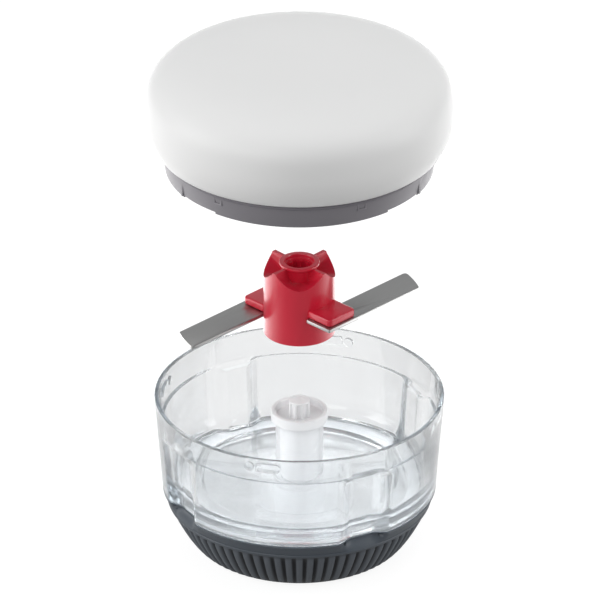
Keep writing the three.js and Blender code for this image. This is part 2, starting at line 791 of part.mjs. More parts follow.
function coverPlate() {
  const plate = roundBody([
    [0, coverBottom],
    [coverRadius, coverBottom],
    [coverRadius, coverTop],
    [coverPostRadius, coverTop],
    [coverPostRadius, coverPostTop],
    [0, coverPostTop],
  ], ringFacets);
  const shaftHole = disc(shaftRadius + seatGap, coverBottom - overrun, coverBottom + coverBlindHole, smallFacets);
  const rotorScrewHole = disc(rotorScrewRadius + seatGap, coverPostTop - rotorScrewLength, coverPostTop + overrun, pinFacets);
  const holes = bossAngles.flatMap((angle) => [
    disc(coverScrewRadius + seatGap, coverBottom - overrun, coverTop + overrun, pinFacets),
    disc(coverScrewHeadRadius + seatGap, coverTop - coverScrewHeadTall - seatGap, coverTop + overrun, pinFacets),
  ].map((hole) => hole.translate(...around(bossPitchRadius, angle))));
  const pinHoles = planetAngles.map((angle) =>
    disc(planetPinRadius + seatGap, coverBottom - overrun, coverTop + overrun, pinFacets)
      .translate(...around(planetDistance, angle)));
  return cut(plate, shaftHole, rotorScrewHole, ...holes, ...pinHoles);
}

// A screw with its head up: the head's underside is at the given height. The head has a square socket.
function screw(radius, length, headRadius, headTall, seat) {
  const body = roundBody([
    [0, seat - length],
    [radius, seat - length],
    [radius, seat],
    [headRadius, seat],
    [headRadius, seat + headTall],
    [0, seat + headTall],
  ], pinFacets);
  const reach = (headRadius * socketShare) / 2;
  const top = seat + headTall;
  return cut(body, box([-reach, -reach, top - headTall * socketShare], [reach, reach, top + overrun]));
}

function shaftBush() {
  const flangeTopHeight = gearFloorBottom - seatGap;
  return roundBody([
    [shaftRadius + seatGap, flangeTopHeight - bushFlangeThickness],
    [bushFlangeRadius, flangeTopHeight - bushFlangeThickness],
    [bushFlangeRadius, flangeTopHeight],
    [bushOuterRadius, flangeTopHeight],
    [bushOuterRadius, gearFloorTop],
    [shaftRadius + seatGap, gearFloorTop],
  ], smallFacets);
}

function driveShaft() {
  const bar = disc(shaftRadius, crossPlateBottom + seatGap, shaftTop, smallFacets);
  const hole = disc(coverScrewRadius + seatGap, crossPlateBottom - overrun, crossPlateBottom + driveScrewLength + seatGap, pinFacets);
  return cut(bar, hole);
}

function driveCross() {
  const plateTop = crossPlateBottom + crossPlateThickness;
  const plate = pipe(shaftRadius + seatGap, crossPlateRadius, crossPlateBottom, plateTop, ringFacets);
  const arms = Array.from({ length: crossArmCount }, (_, i) =>
    box([crossArmInner, -crossArmHalfWidth, crossArmBottom], [crossPlateRadius - crossArmHalfWidth / 2, crossArmHalfWidth, plateTop])
      .rotateZ((i * fullTurn) / crossArmCount));
  return join(plate, ...arms);
}

function crankRotor() {
  const upstandInner = rotorUpstandRadius - rotorUpstandWall;
  const wheel = roundBody([
    [coverPostRadius + seatGap, rotorBottom],
    [rotorFlangeRadius, rotorBottom],
    [rotorFlangeRadius, rotorTop],
    [rotorUpstandRadius, rotorTop],
    [rotorUpstandRadius, rotorTop + rotorUpstandTall],
    [upstandInner, rotorTop + rotorUpstandTall],
    [upstandInner, rotorTop],
    [rotorBossRadius, rotorTop],
    [rotorBossRadius, coverPostTop - runGap],
    [coverPostRadius + seatGap, coverPostTop - runGap],
  ], ringFacets);
  const teeth = new THREE.Shape().absarc(0, 0, ringGearOuterRadius, 0, fullTurn, false);
  teeth.holes.push(new THREE.Path(
    gearOutline(ringTeeth, ringPitchRadius - addendum, ringPitchRadius + gearModule, -backlash / 2).reverse()));
  const ringGear = extruded(teeth, gearBottom, rotorBottom - gearBottom + rotorThickness / 2, ringFacets);
  const keys = Array.from({ length: keyCount }, (_, i) =>
    box([rotorUpstandRadius - rotorUpstandWall / 2, -keyWidth / 2, rotorTop - rotorThickness / 2],
      [rotorUpstandRadius + keyReach, keyWidth / 2, rotorTop + keyTall])
      .rotateZ((i * fullTurn) / keyCount));
  return join(wheel, ringGear, ...keys);
}

// Dome outline, from the edge up to the crown, drawn in by an inset for the inner skin.
function domeSkin(inset, lowerSteps, upperSteps) {
  const lower = Array.from({ length: lowerSteps }, (_, i) => {
    const height = domeEdgeHeight + ((domeWidestHeight - domeEdgeHeight) * i) / lowerSteps;
    const drop = (domeWidestHeight - height) / (domeWidestHeight - domeEdgeHeight);
    return [domeWidestRadius - inset - (domeWidestRadius - domeEdgeRadius) * drop ** 2, height];
  });
  const upper = Array.from({ length: upperSteps + 1 }, (_, i) => {
    const angle = (i / upperSteps) * (Math.PI / 2);
    const power = 2 / domeRoundness;
    const radius = i === upperSteps ? 0 : (domeWidestRadius - inset) * Math.cos(angle) ** power;
    const rise = domeCrownHeight - domeWidestHeight - inset;
    return [radius, domeWidestHeight + rise * Math.sin(angle) ** power];
  });
  return [...lower, ...upper];
}

function domeHeightAt(radius, inset) {
  const share = (radius / (domeWidestRadius - inset)) ** domeRoundness;
  return domeWidestHeight + (domeCrownHeight - domeWidestHeight - inset) * (1 - share) ** (1 / domeRoundness);
}

function crankDome() {
  const ribInner = rotorUpstandRadius + seatGap;
  const ribOuter = ribInner + domeRibWall;
  const ribBottom = rotorTop + seatGap;
  const inner = domeSkin(domeWall, domeLowerSteps / 2, domeUpperSteps / 2).reverse();
  const outline = [
    ...domeSkin(0, domeLowerSteps, domeUpperSteps),
    ...inner.filter(([radius]) => radius < ribInner),
    [ribInner, domeHeightAt(ribInner, domeWall)],
    [ribInner, ribBottom],
    [ribOuter, ribBottom],
    [ribOuter, domeHeightAt(ribOuter, domeWall)],
    ...inner.filter(([radius]) => radius > ribOuter),
  ];
  const shell = wavyBody(() => outline, evenBearings(domeFacets));
  const slots = Array.from({ length: keyCount }, (_, i) =>
    box([ribInner - overrun, -keyWidth / 2 - seatGap, ribBottom - overrun],
      [ribOuter + overrun, keyWidth / 2 + seatGap, rotorTop + keyTall + seatGap])
      .rotateZ((i * fullTurn) / keyCount));
  return cut(shell, ...slots);
}

// Scene

const chopper = new THREE.Group();

function place(parent, name, geometry, finish) {
  const mesh = new THREE.Mesh(closedBody(geometry), new THREE.MeshStandardMaterial(finish));
  mesh.name = name;
  parent.add(mesh);
  return mesh;
}

place(chopper, "bowl", bowl(), finishes.clear);
place(chopper, "post_bush", postBush(), finishes.white);
place(chopper, "base_cup", wavyBody(cupOutline, fluteBearings), finishes.slate);
place(chopper, "base_grip", wavyBody(gripOutline, evenBearings(2 * ribCount)), finishes.slate);
place(chopper, "foot_ring", pipe(footInner, footRadius, 0, footTall, ringFacets), finishes.rubber);
place(chopper, "spindle_cap", wavyBody(spindleOutline, evenBearings(4 * splineCount)), finishes.white);
place(chopper, "spindle_clip", spindleClip(), finishes.steel);

const hub = new THREE.Group();
hub.position.z = hubRest;
chopper.add(hub);
place(hub, "blade_hub", bladeHub(), finishes.red);
place(hub, "blade_upper", blade(upperBladeTop, bladeTurn), finishes.blade);
place(hub, "blade_lower", blade(lowerBladeTop, bladeTurn + Math.PI), finishes.blade);

const lid = new THREE.Group();
lid.position.z = rimHeight + lidRest;
chopper.add(lid);
place(lid, "lid_seal", pipe(sealRadius - sealDepth, sealRadius, sealBottom, sealBottom + sealTall, ringFacets), finishes.rubber);
place(lid, "lid_ring", lidRing(), finishes.ringGrey);
place(lid, "cover_plate", coverPlate(), finishes.ringGrey);
bossAngles.forEach((angle, i) => {
  const seat = coverTop - coverScrewHeadTall;
  const geometry = screw(coverScrewRadius, coverScrewLength, coverScrewHeadRadius, coverScrewHeadTall - seatGap, seat);
  place(lid, `cover_screw_${i + 1}`, geometry.translate(...around(bossPitchRadius, angle)), finishes.steel);
});
planetAngles.forEach((angle, i) => {
  const pin = disc(planetPinRadius, gearFloorBottom, coverTop, pinFacets).translate(...around(planetDistance, angle));
  place(lid, `planet_pin_${i + 1}`, pin, finishes.steel);
  const gear = spurGear(planetTeeth, planetPinRadius + seatGap, gearBottom).rotateZ(angle);
  place(lid, `planet_gear_${i + 1}`, gear.translate(...around(planetDistance, angle)), finishes.nylon);
});
place(lid, "shaft_bush", shaftBush(), finishes.bronze);
place(lid, "drive_shaft", driveShaft(), finishes.steel);
place(lid, "sun_gear", spurGear(sunTeeth, shaftRadius + seatGap, gearBottom).rotateZ(Math.PI / sunTeeth), finishes.nylon);
place(lid, "drive_cross", driveCross(), finishes.white);
const driveScrew = screw(coverScrewRadius, driveScrewLength, driveScrewHeadRadius, driveScrewHeadTall, 0)
  .rotateX(Math.PI)
  .translate(0, 0, crossPlateBottom - seatGap);
place(lid, "drive_screw", driveScrew, finishes.steel);
place(lid, "crank_rotor", crankRotor(), finishes.nylon);
const washerBottom = coverPostTop + seatGap;
place(lid, "rotor_washer",
  pipe(rotorScrewRadius + seatGap, washerRadius, washerBottom, washerBottom + washerThickness, smallFacets), finishes.steel);
place(lid, "rotor_screw",
  screw(rotorScrewRadius, rotorScrewLength + washerThickness, rotorScrewHeadRadius, rotorScrewHeadTall,
    washerBottom + washerThickness + seatGap), finishes.steel);
place(lid, "crank_dome", crankDome(), finishes.white);

export default chopper;
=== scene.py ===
# %% [markdown]
# # A crank food chopper, drawn apart
# The chopper is a clear bowl in a ribbed base, a red blade hub and a domed lid that is turned by hand.
# The photograph shows the three groups one above the other, so the scene keeps them apart in the same way.
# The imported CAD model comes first, because every visible piece has to sit where its solid sits.

# %% Load the frame
import math

import bmesh
import bpy
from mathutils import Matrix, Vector


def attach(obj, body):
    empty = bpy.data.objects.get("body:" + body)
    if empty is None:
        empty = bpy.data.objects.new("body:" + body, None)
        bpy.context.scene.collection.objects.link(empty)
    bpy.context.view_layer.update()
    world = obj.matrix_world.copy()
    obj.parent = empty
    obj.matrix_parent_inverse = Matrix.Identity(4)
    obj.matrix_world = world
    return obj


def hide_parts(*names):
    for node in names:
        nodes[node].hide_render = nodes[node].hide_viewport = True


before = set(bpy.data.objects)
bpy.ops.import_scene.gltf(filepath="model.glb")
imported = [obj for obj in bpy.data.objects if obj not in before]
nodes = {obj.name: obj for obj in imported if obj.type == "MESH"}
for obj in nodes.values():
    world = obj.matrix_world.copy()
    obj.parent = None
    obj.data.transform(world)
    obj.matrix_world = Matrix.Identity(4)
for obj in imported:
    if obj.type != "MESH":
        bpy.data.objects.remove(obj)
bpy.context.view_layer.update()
MM = 0.001

# %% [markdown]
# ## Sizes that several pieces share
# All sizes are written in millimetres and become metres when a vertex is placed. The rim of the bowl is 80 mm
# up, and the lid hangs 137.3 mm above the height at which it closes. A bearing is an angle about the upright
# axis, counted from the front towards the right.

# %% Shared sizes
RIM_RADIUS = 70.0
RIM_HEIGHT = 80.0
WALL_LEAN = 0.0837
LEDGE_HEIGHT = 66.6
FLUTE_BEARING = -61.0
FLUTE_OUTSIDE = 4.6
FLUTE_INSIDE = 3.0
LIP_HEIGHT = 31.1
CLEAR_BOTTOM = 31.4
FOOT_RADIUS = 44.4
POST_RADIUS = 11.5
POST_BORE = 9.3
POST_TOP = 66.2
SEAT_GAP = 0.3
HUB_BOTTOM = 114.9
BLADE_TURN = 45.5
LID_HEIGHT = RIM_HEIGHT + 137.3


def wall_radius(height):
    """Outside radius of the bowl at a height: the wall leans in towards the base."""
    return RIM_RADIUS - WALL_LEAN * (RIM_HEIGHT - height)


print("bowl radius at the lip:", round(wall_radius(LIP_HEIGHT), 2), "mm")

# %% [markdown]
# ## Camera
# The photograph is taken from 28 degrees above and from far away: the dome isn't drawn any larger than the
# base that stands behind and below it. A very long lens gives that flat look.

# %% Camera
CAMERA_RISE = math.radians(28)
CAMERA_LENS = 1500.0
SENSOR_WIDTH = 36.0
VIEW_WIDTH = 288.6
AIM = Vector((0.3, 0, 131.0)) * MM

camera_distance = VIEW_WIDTH * MM * CAMERA_LENS / SENSOR_WIDTH
away = Vector((0, -math.cos(CAMERA_RISE), math.sin(CAMERA_RISE)))
bpy.ops.object.camera_add(location=AIM + away * camera_distance, rotation=(math.pi / 2 - CAMERA_RISE, 0, 0))
camera = bpy.context.object
camera.name = "camera"
camera.data.lens = CAMERA_LENS
camera.data.sensor_width = SENSOR_WIDTH
camera.data.clip_end = 50
bpy.context.scene.camera = camera
bpy.context.scene.view_settings.view_transform = "Standard"
print("camera is", round(camera_distance, 3), "m from its target")

# %% [markdown]
# ## Tools for modelling
# Most pieces are turned shapes, so the main tool is a lathe: one vertex is extruded along the outline and the
# line is spun round the axis. A second tool draws a flat outline and pulls it into a plate. Corners are
# rounded in the outline itself, because a rounded corner is what catches the light on moulded plastic.

# %% Start with nothing selected
def start_fresh():
    if bpy.context.mode != "OBJECT":
        bpy.ops.object.mode_set(mode="OBJECT")
    bpy.ops.object.select_all(action="DESELECT")


def pick(piece):
    """Makes a piece the only selected one and the active one."""
    start_fresh()
    piece.select_set(True)
    bpy.context.view_layer.objects.active = piece


def edit(piece):
    """Picks a piece and enters edit mode."""
    pick(piece)
    bpy.ops.object.mode_set(mode="EDIT")


# %% Rounded outlines
def rounded(corners, steps=4):
    """Outline through (x, y) or (x, y, fillet) corners; a corner with a fillet becomes an arc."""
    count = len(corners)
    outline = []
    for i, corner in enumerate(corners):
        here = Vector(corner[:2])
        if len(corner) == 2:
            outline.append(here)
            continue
        before = (Vector(corners[i - 1][:2]) - here).normalized()
        after = (Vector(corners[(i + 1) % count][:2]) - here).normalized()
        half = before.angle(after) / 2
        centre = here + (before + after).normalized() * corner[2] / math.sin(half)
        first = here + before * corner[2] / math.tan(half) - centre
        last = here + after * corner[2] / math.tan(half) - centre
        sweep = first.angle_signed(last)
        for step in range(steps + 1):
            angle = -sweep * step / steps
            offset = (
                first.x * math.cos(angle) - first.y * math.sin(angle),
                first.x * math.sin(angle) + first.y * math.cos(angle),
            )
            outline.append(centre + Vector(offset))
    return [tuple(point) for point in outline]


print("a rounded square has", len(rounded([(0, 0, 1), (9, 0, 1), (9, 9, 1), (0, 9, 1)])), "points")


# %% Draw a line of vertices
def drawn_line(name, points):
    """A new mesh with one edge after another through 3-D points in mm, left selected in edit mode."""
    start_fresh()
    bpy.ops.mesh.primitive_plane_add(size=MM)
    piece = bpy.context.object
    piece.name = name
    piece.data.name = name
    bpy.ops.object.mode_set(mode="EDIT")
    bpy.ops.mesh.merge(type="CENTER")
    places = [Vector(point) * MM for point in points]
    bpy.ops.transform.translate(value=places[0])
    for here, there in zip(places, places[1:]):
        bpy.ops.mesh.extrude_region_move(TRANSFORM_OT_translate={"value": there - here})
    return piece


# %% The lathe
MERGE_DISTANCE = 0.00001


def close_up():
    """Merges doubled vertices of the piece in edit mode and turns its faces outwards."""
    bpy.ops.mesh.select_all(action="SELECT")
    bpy.ops.mesh.remove_doubles(threshold=MERGE_DISTANCE)
    bpy.ops.mesh.normals_make_consistent(inside=False)
    bpy.ops.object.mode_set(mode="OBJECT")


def spun(name, outline, steps, base=0.0):
    """Spins an outline of (radius, height) in mm round the axis. It starts at the front."""
    ring = list(outline)
    if ring[0][0] > 0 or ring[-1][0] > 0:
        ring.append(ring[0])
    piece = drawn_line(name, [(0, -radius, base + height) for radius, height in ring])
    bpy.ops.mesh.select_all(action="SELECT")
    bpy.ops.mesh.spin(steps=steps, angle=2 * math.pi, center=(0, 0, 0), axis=(0, 0, 1))
    close_up()
    return piece


# %% Plates
def pulled(piece, step):
    """Fills the closed line of the piece in edit mode and pulls the face by a step in mm."""
    bpy.ops.mesh.select_all(action="SELECT")
    bpy.ops.mesh.edge_face_add()
    bpy.ops.mesh.extrude_region_move(TRANSFORM_OT_translate={"value": [part * MM for part in step]})
    close_up()
    return piece


def plate(name, corners, bottom, thickness):
    """A flat closed outline of (x, y) points, filled and pulled up."""
    return pulled(drawn_line(name, [(x, y, bottom) for x, y in corners]), (0, 0, thickness))


# %% Turn, join and cut
def settled(piece):
    """Moves a piece's place, turn and scale into its mesh."""
    pick(piece)
    bpy.ops.object.transform_apply(location=True, rotation=True, scale=True)
    return piece


def turned(piece, degrees):
    """Turns a piece's mesh about the upright axis."""
    piece.rotation_euler.z = math.radians(degrees)
    return settled(piece)


def use_modifier(piece, kind, **settings):
    """Adds a modifier, sets it and applies it."""
    pick(piece)
    modifier = piece.modifiers.new(kind.lower(), kind)
    for key, value in settings.items():
        setattr(modifier, key, value)
    bpy.ops.object.modifier_apply(modifier=modifier.name)


def combine(piece, others, operation):
    """Joins or cuts a piece with other closed pieces, which are used up."""
    for other in others:
        use_modifier(piece, "BOOLEAN", operation=operation, object=other, solver="EXACT")
        bpy.data.objects.remove(other)


def soften(piece, width, segments, angle):
    """Rounds the edges that are sharper than an angle in degrees, by a small width in mm."""
    use_modifier(
        piece, "BEVEL", width=width * MM, segments=segments, limit_method="ANGLE",
        angle_limit=math.radians(angle), miter_outer="MITER_ARC", use_clamp_overlap=True,
    )


# %% Hand a piece over to its body
pieces = []


def finished(piece, body, replaces, material, smooth=30):
    """Shades a piece, gives it its material, hides the CAD parts it replaces and ties it to the body it moves
    with.
    """
    pick(piece)
    bpy.ops.object.shade_smooth_by_angle(angle=math.radians(smooth))
    piece.data.materials.clear()
    piece.data.materials.append(material)
    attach(piece, body)
    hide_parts(*replaces)
    pieces.append(piece)
    print(piece.name, "has", len(piece.data.polygons), "faces")


# %% [markdown]
# ## Floor, light and surroundings
# The object stands on a pale studio table that is lit from below as well as from above, so it runs out to
# white and still takes a faint soft shadow of the base. The room lights everything evenly, as a white tent
# does. The camera sees it white, and glossy surfaces mirror it half as bright: that keeps the red and the
# slate deep and draws thin grey lines along the edges of the clear plastic. The table's reflection is darkest
# in front and brightest some way off at the sides, as if white boards lay there: they draw the highlights on
# the red hub. A broad lamp hangs above, and a tall one stands at each side, so that upright cylinders are
# light at their sides and darker in the middle. One stands in front on the left, and a weak one at the back.

# %% A helper for shader nodes
def added(tree, kind, inputs=None, **settings):
    """Adds the shader node of a kind. An input gets a value, or follows the socket that is given for it."""
    node = tree.nodes.new("ShaderNode" + kind)
    for name, value in settings.items():
        setattr(node, name, value)
    for name, given in (inputs or {}).items():
        if isinstance(given, bpy.types.NodeSocket):
            tree.links.new(given, node.inputs[name])
        else:
            node.inputs[name].default_value = given
    return node


def new_material(name):
    """An empty node material and its node tree."""
    material = bpy.data.materials.new(name)
    material.use_nodes = True
    material.node_tree.nodes.clear()
    return material, material.node_tree


def by_ray(tree, strength, cases):
    """A strength for most rays and others for the kinds of ray that are named, the last one first."""
    path = added(tree, "LightPath")
    for kind, other in cases:
        mix = added(tree, "Mix", {"Factor": path.outputs[kind], "A": strength, "B": other})
        strength = mix.outputs["Result"]
    return strength


# %% Floor
TABLE_SIZE = 6.0
TABLE_TONE = 0.22
TABLE_WHITE = 0.89
TABLE_THROUGH = 0.66
TABLE_BOUNCE = 0.15
MIRROR_BY_DEPTH = {"From Min": -0.22, "From Max": 0.12, "To Min": 0.08, "To Max": 1.0}
MIRROR_BY_REACH = {"From Min": 0.15, "From Max": 0.24, "To Min": 0.7, "To Max": 3.0}


def mirror_ramp(tree, measure, limits):
    """A soft step from one brightness to another along a measure in metres."""
    return added(tree, "MapRange", {**limits, "Value": measure}, interpolation_type="SMOOTHSTEP").outputs[0]


start_fresh()
bpy.ops.mesh.primitive_plane_add(size=TABLE_SIZE)
floor = bpy.context.object
floor.name = "floor"
floor_material, tree = new_material("studio_floor")
paint = added(tree, "BsdfDiffuse", {"Color": (TABLE_TONE, TABLE_TONE, TABLE_TONE, 1)})
spot = added(tree, "NewGeometry").outputs["Position"]
depth = added(tree, "SeparateXYZ", {0: spot}).outputs["Y"]
reach = added(tree, "VectorMath", {0: spot}, operation="LENGTH").outputs["Value"]
mirror = added(tree, "Math", {
    0: mirror_ramp(tree, depth, MIRROR_BY_DEPTH),
    1: mirror_ramp(tree, reach, MIRROR_BY_REACH),
}, operation="MULTIPLY")
strength = by_ray(tree, TABLE_BOUNCE, [
    ("Is Glossy Ray", mirror.outputs[0]),
    ("Is Transmission Ray", TABLE_THROUGH),
    ("Is Camera Ray", TABLE_WHITE),
])
glow = added(tree, "Emission", {"Strength": strength})
both = added(tree, "AddShader", {0: paint.outputs[0], 1: glow.outputs[0]})
added(tree, "OutputMaterial", {"Surface": both.outputs[0]})
floor.data.materials.append(floor_material)

# %% Room
ROOM_COLOUR = (0.97, 0.99, 1, 1)
ROOM_FILL = 0.42
ROOM_MIRROR = 0.5
ROOM_THROUGH = 0.9
ROOM_WHITE = 1.05

world = bpy.data.worlds.new("studio_room")
bpy.context.scene.world = world
world.use_nodes = True
tree = world.node_tree
tree.nodes.clear()
strength = by_ray(tree, ROOM_FILL, [
    ("Is Glossy Ray", ROOM_MIRROR),
    ("Is Transmission Ray", ROOM_THROUGH),
    ("Is Camera Ray", ROOM_WHITE),
])
room = added(tree, "Background", {"Color": ROOM_COLOUR, "Strength": strength})
added(tree, "OutputWorld", {"Surface": room.outputs[0]})
print("floor and room are set")

# %% Lamps
# Each lamp has its place and size in metres and its power in watts. The camera sees none of them, and the one
# at the back isn't mirrored either.
AIM_POINT = Vector((0, 0, 0.12))
LAMPS = {
    "lamp_overhead": ((0.1, 0.25, 1.2), (1.1, 0.9), 3.4),
    "lamp_front": ((-0.5, -1.05, 0.7), (0.8, 0.6), 4.2),
    "lamp_left": ((-0.95, -0.15, 0.42), (0.4, 0.9), 4.1),
    "lamp_right": ((0.95, -0.1, 0.45), (0.4, 0.9), 3.5),
    "lamp_back": ((0.3, 0.9, 0.5), (0.8, 0.5), 1.5),
}

for name, (place, (width, height), power) in LAMPS.items():
    start_fresh()
    bpy.ops.object.light_add(type="AREA", location=place)
    lamp = bpy.context.object
    lamp.name = name
    lamp.rotation_euler = (AIM_POINT - Vector(place)).to_track_quat("-Z", "Y").to_euler()
    lamp.data.shape = "RECTANGLE"
    lamp.data.size = width
    lamp.data.size_y = height
    lamp.data.energy = power
    lamp.visible_camera = False
    lamp.visible_glossy = name != "lamp_back"
print("lamps:", list(LAMPS))

# %% [markdown]
# ## Effects that several finishes share
# Moulded plastic is never one flat colour. Its tone drifts a little over the surface, its gloss varies, and
# fine spark-eroded grain breaks up the highlight. These effects live in node groups, each built once and
# placed in every material with its own values.

# %% Helpers for node groups
COLOUR = "NodeSocketColor"
NUMBER = "NodeSocketFloat"
GREY = (0.5, 0.5, 0.5, 1)
SKIN_OUTPUTS = [("Colour", COLOUR), ("Roughness", NUMBER), ("Height", NUMBER)]


def new_group(name, inputs, outputs):
    """A shader node group with named sockets: its tree, and what comes in by its input node."""
    group = bpy.data.node_groups.new(name, "ShaderNodeTree")
    for title, kind, value in inputs:
        socket = group.interface.new_socket(title, in_out="INPUT", socket_type=kind)
        socket.default_value = value
    for title, kind in outputs:
        group.interface.new_socket(title, in_out="OUTPUT", socket_type=kind)
    return group, group.nodes.new("NodeGroupInput").outputs


def put_out(group, results):
    """Leads the results of a group to its named outputs."""
    sink = group.nodes.new("NodeGroupOutput")
    for title, socket in results.items():
        group.links.new(socket, sink.inputs[title])


def noise(tree, vector, scale, detail=3.0):
    """A noise texture on the given coordinates. A scale is in waves per metre."""
    return added(tree, "TexNoise", {"Vector": vector, "Scale": scale, "Detail": detail}).outputs["Fac"]


def spread_about(tree, factor, middle, spread):
    """middle + (factor - 0.5) * spread."""
    shifted = added(tree, "Math", {0: factor, 1: 0.5}, operation="SUBTRACT")
    inputs = {0: shifted.outputs[0], 1: spread, 2: middle}
    return added(tree, "Math", inputs, operation="MULTIPLY_ADD").outputs[0]


def drifting(tree, colour, factor, drift):
    """A colour that gets lighter and darker with a factor from 0 to 1."""
    tone = spread_about(tree, factor, 1.0, drift)
    return added(tree, "VectorMath", {0: colour, "Scale": tone}, operation="SCALE").outputs[0]


def mixed_colour(tree, factor, first, second):
    """The first colour where the factor is 0, the second one where it is 1."""
    return added(tree, "Mix", {"Factor": factor, "A": first, "B": second}, data_type="RGBA").outputs["Result"]


# %% Group: moulded skin
DRIFT_SCALE = 35.0
GLOSS_SCALE = 140.0

moulded, given = new_group(
    "moulded_skin",
    [("Colour", COLOUR, GREY), ("Tone Drift", NUMBER, 0.05), ("Roughness", NUMBER, 0.4),
     ("Gloss Drift", NUMBER, 0.1), ("Grain Scale", NUMBER, 2500.0)],
    SKIN_OUTPUTS,
)
place = added(moulded, "TexCoord").outputs["Object"]
tone_noise = noise(moulded, place, DRIFT_SCALE)
gloss_noise = noise(moulded, place, GLOSS_SCALE)
put_out(moulded, {
    "Colour": drifting(moulded, given["Colour"], tone_noise, given["Tone Drift"]),
    "Roughness": spread_about(moulded, gloss_noise, given["Roughness"], given["Gloss Drift"]),
    "Height": noise(moulded, place, given["Grain Scale"], 2.0),
})

# %% Group: painted edge highlight
# Pointiness is above one half where the surface is sharply convex; there the colour is mixed towards a
# lighter edge colour, a painted highlight.
EDGE_STARTS = 0.52
EDGE_FULL = 0.62

edges, given = new_group(
    "painted_edge_highlight",
    [("Colour", COLOUR, GREY), ("Edge Colour", COLOUR, GREY), ("Amount", NUMBER, 0.5)],
    [("Colour", COLOUR)],
)
pointiness = added(edges, "NewGeometry").outputs["Pointiness"]
sharpness = added(edges, "MapRange", {"Value": pointiness, "From Min": EDGE_STARTS, "From Max": EDGE_FULL})
amount = added(edges, "Math", {0: sharpness.outputs["Result"], 1: given["Amount"]}, operation="MULTIPLY")
put_out(edges, {"Colour": mixed_colour(edges, amount.outputs[0], given["Colour"], given["Edge Colour"])})

# %% Group: ground steel
# Grinding leaves fine lines, so the noise is stretched along X before it is read.
LINE_STRETCH = (0.02, 1, 1)

ground, given = new_group(
    "ground_steel",
    [("Vector", "NodeSocketVector", (0, 0, 0)), ("Colour", COLOUR, GREY), ("Line Scale", NUMBER, 900.0),
     ("Tone Drift", NUMBER, 0.15), ("Roughness", NUMBER, 0.35), ("Gloss Drift", NUMBER, 0.15)],
    SKIN_OUTPUTS,
)
stretched = added(ground, "Mapping", {"Vector": given["Vector"], "Scale": LINE_STRETCH})
lines = noise(ground, stretched.outputs[0], given["Line Scale"], 4.0)
put_out(ground, {
    "Colour": drifting(ground, given["Colour"], lines, given["Tone Drift"]),
    "Roughness": spread_about(ground, lines, given["Roughness"], given["Gloss Drift"]),
    "Height": lines,
})
print("groups:", [group.name for group in bpy.data.node_groups])

# %% [markdown]
# ## Finishes
# Each plastic is a Principled shader fed by the moulded skin. The grey and the smooth slate get a paler edge,
# a painted highlight on their sharp edges. The clear bowl is refracting plastic with a little
# blue grey in its depth, so long ways through an edge come out darker than the walls. Where it is seen face
# on, a quarter of the light goes straight through, and less where it slants: that keeps the walls soft and
# the edges drawn. For shadow rays the material is simply open, so lamps shine through it.

# %% Plastics
COAT_ROUGHNESS = 0.12
GLOSS_DRIFT = 0.08


def moulded_skin(tree, colour, roughness, drift, gloss_drift, grain):
    """Places the moulded skin in a material with its own values."""
    return added(tree, "Group", {
        "Colour": (*colour, 1), "Tone Drift": drift, "Roughness": roughness, "Gloss Drift": gloss_drift,
        "Grain Scale": grain,
    }, node_tree=moulded)


def principled(tree, skin, colour, depth, values):
    """A Principled shader on a skin, with a relief of a depth in metres and plain values of its own."""
    bump = added(tree, "Bump", {"Strength": 1.0, "Distance": depth, "Height": skin.outputs["Height"]})
    values = {"Roughness": skin.outputs["Roughness"], "Normal": bump.outputs["Normal"], **values}
    return added(tree, "BsdfPrincipled", {"Base Color": colour, **values})


def plastic(name, colour, roughness, drift=0.04, grain=2500.0, depth=0.00001, edge=None, edge_amount=0.5,
            groove_shade=None, coat=0.0):
    """An opaque moulded plastic or rubber. An edge colour is a painted highlight on sharp edges, and a shade
    colour is painted shade where the piece's own mask says.
    """
    material, tree = new_material(name)
    skin = moulded_skin(tree, colour, roughness, drift, GLOSS_DRIFT, grain)
    shown = skin.outputs["Colour"]
    # An edge colour is mixed in by pointiness: a painted highlight on sharp edges.
    if edge:
        inputs = {"Colour": shown, "Edge Colour": (*edge, 1), "Amount": edge_amount}
        shown = added(tree, "Group", inputs, node_tree=edges).outputs["Colour"]
    # A mask on the piece mixes in a dark colour: painted shade in its grooves.
    if groove_shade:
        mask = added(tree, "Attribute", attribute_name="groove_shade").outputs["Fac"]
        shown = mixed_colour(tree, mask, shown, (*groove_shade, 1))
    shader = principled(tree, skin, shown, depth, {"Coat Weight": coat, "Coat Roughness": COAT_ROUGHNESS})
    added(tree, "OutputMaterial", {"Surface": shader.outputs[0]})
    return material


white_gloss = plastic("white_gloss", (0.78, 0.775, 0.77), 0.5, drift=0.02, depth=0.000004)
white_moulding = plastic("white_moulding", (0.87, 0.87, 0.88), 0.22, drift=0.03, depth=0.000004)
# The grey ring and the smooth slate take a lighter edge colour: a painted highlight on their sharp edges.
ring_grey = plastic("ring_grey", (0.195, 0.185, 0.202), 0.5, drift=0.08, edge=(0.25, 0.24, 0.26))
hub_red = plastic("hub_red", (0.62, 0.010, 0.035), 0.32, drift=0.05, depth=0.000006, coat=0.3)
slate_smooth = plastic("slate_smooth", (0.060, 0.073, 0.090), 0.42, drift=0.08, depth=0.000008,
                       edge=(0.14, 0.17, 0.19), edge_amount=0.4)
# The soft slate takes a near-black colour where its mask marks the grooves: painted shade.
slate_soft = plastic("slate_soft", (0.096, 0.108, 0.125), 0.6, drift=0.1, grain=3500.0, depth=0.00002,
                     groove_shade=(0.012, 0.014, 0.017))
dark_rubber = plastic("dark_rubber", (0.03, 0.033, 0.036), 0.75, drift=0.12, grain=3500.0, depth=0.00002)
seal_rubber = plastic("seal_rubber", (0.16, 0.15, 0.17), 0.6, drift=0.08)
pale_liner = plastic("pale_liner", (0.93, 0.935, 0.94), 0.5, drift=0.03)
gear_nylon = plastic("gear_nylon", (0.80, 0.76, 0.66), 0.5, drift=0.05)


# %% Metals
METAL_GLOSS_DRIFT = 0.1
LINE_DEPTH = 0.000003


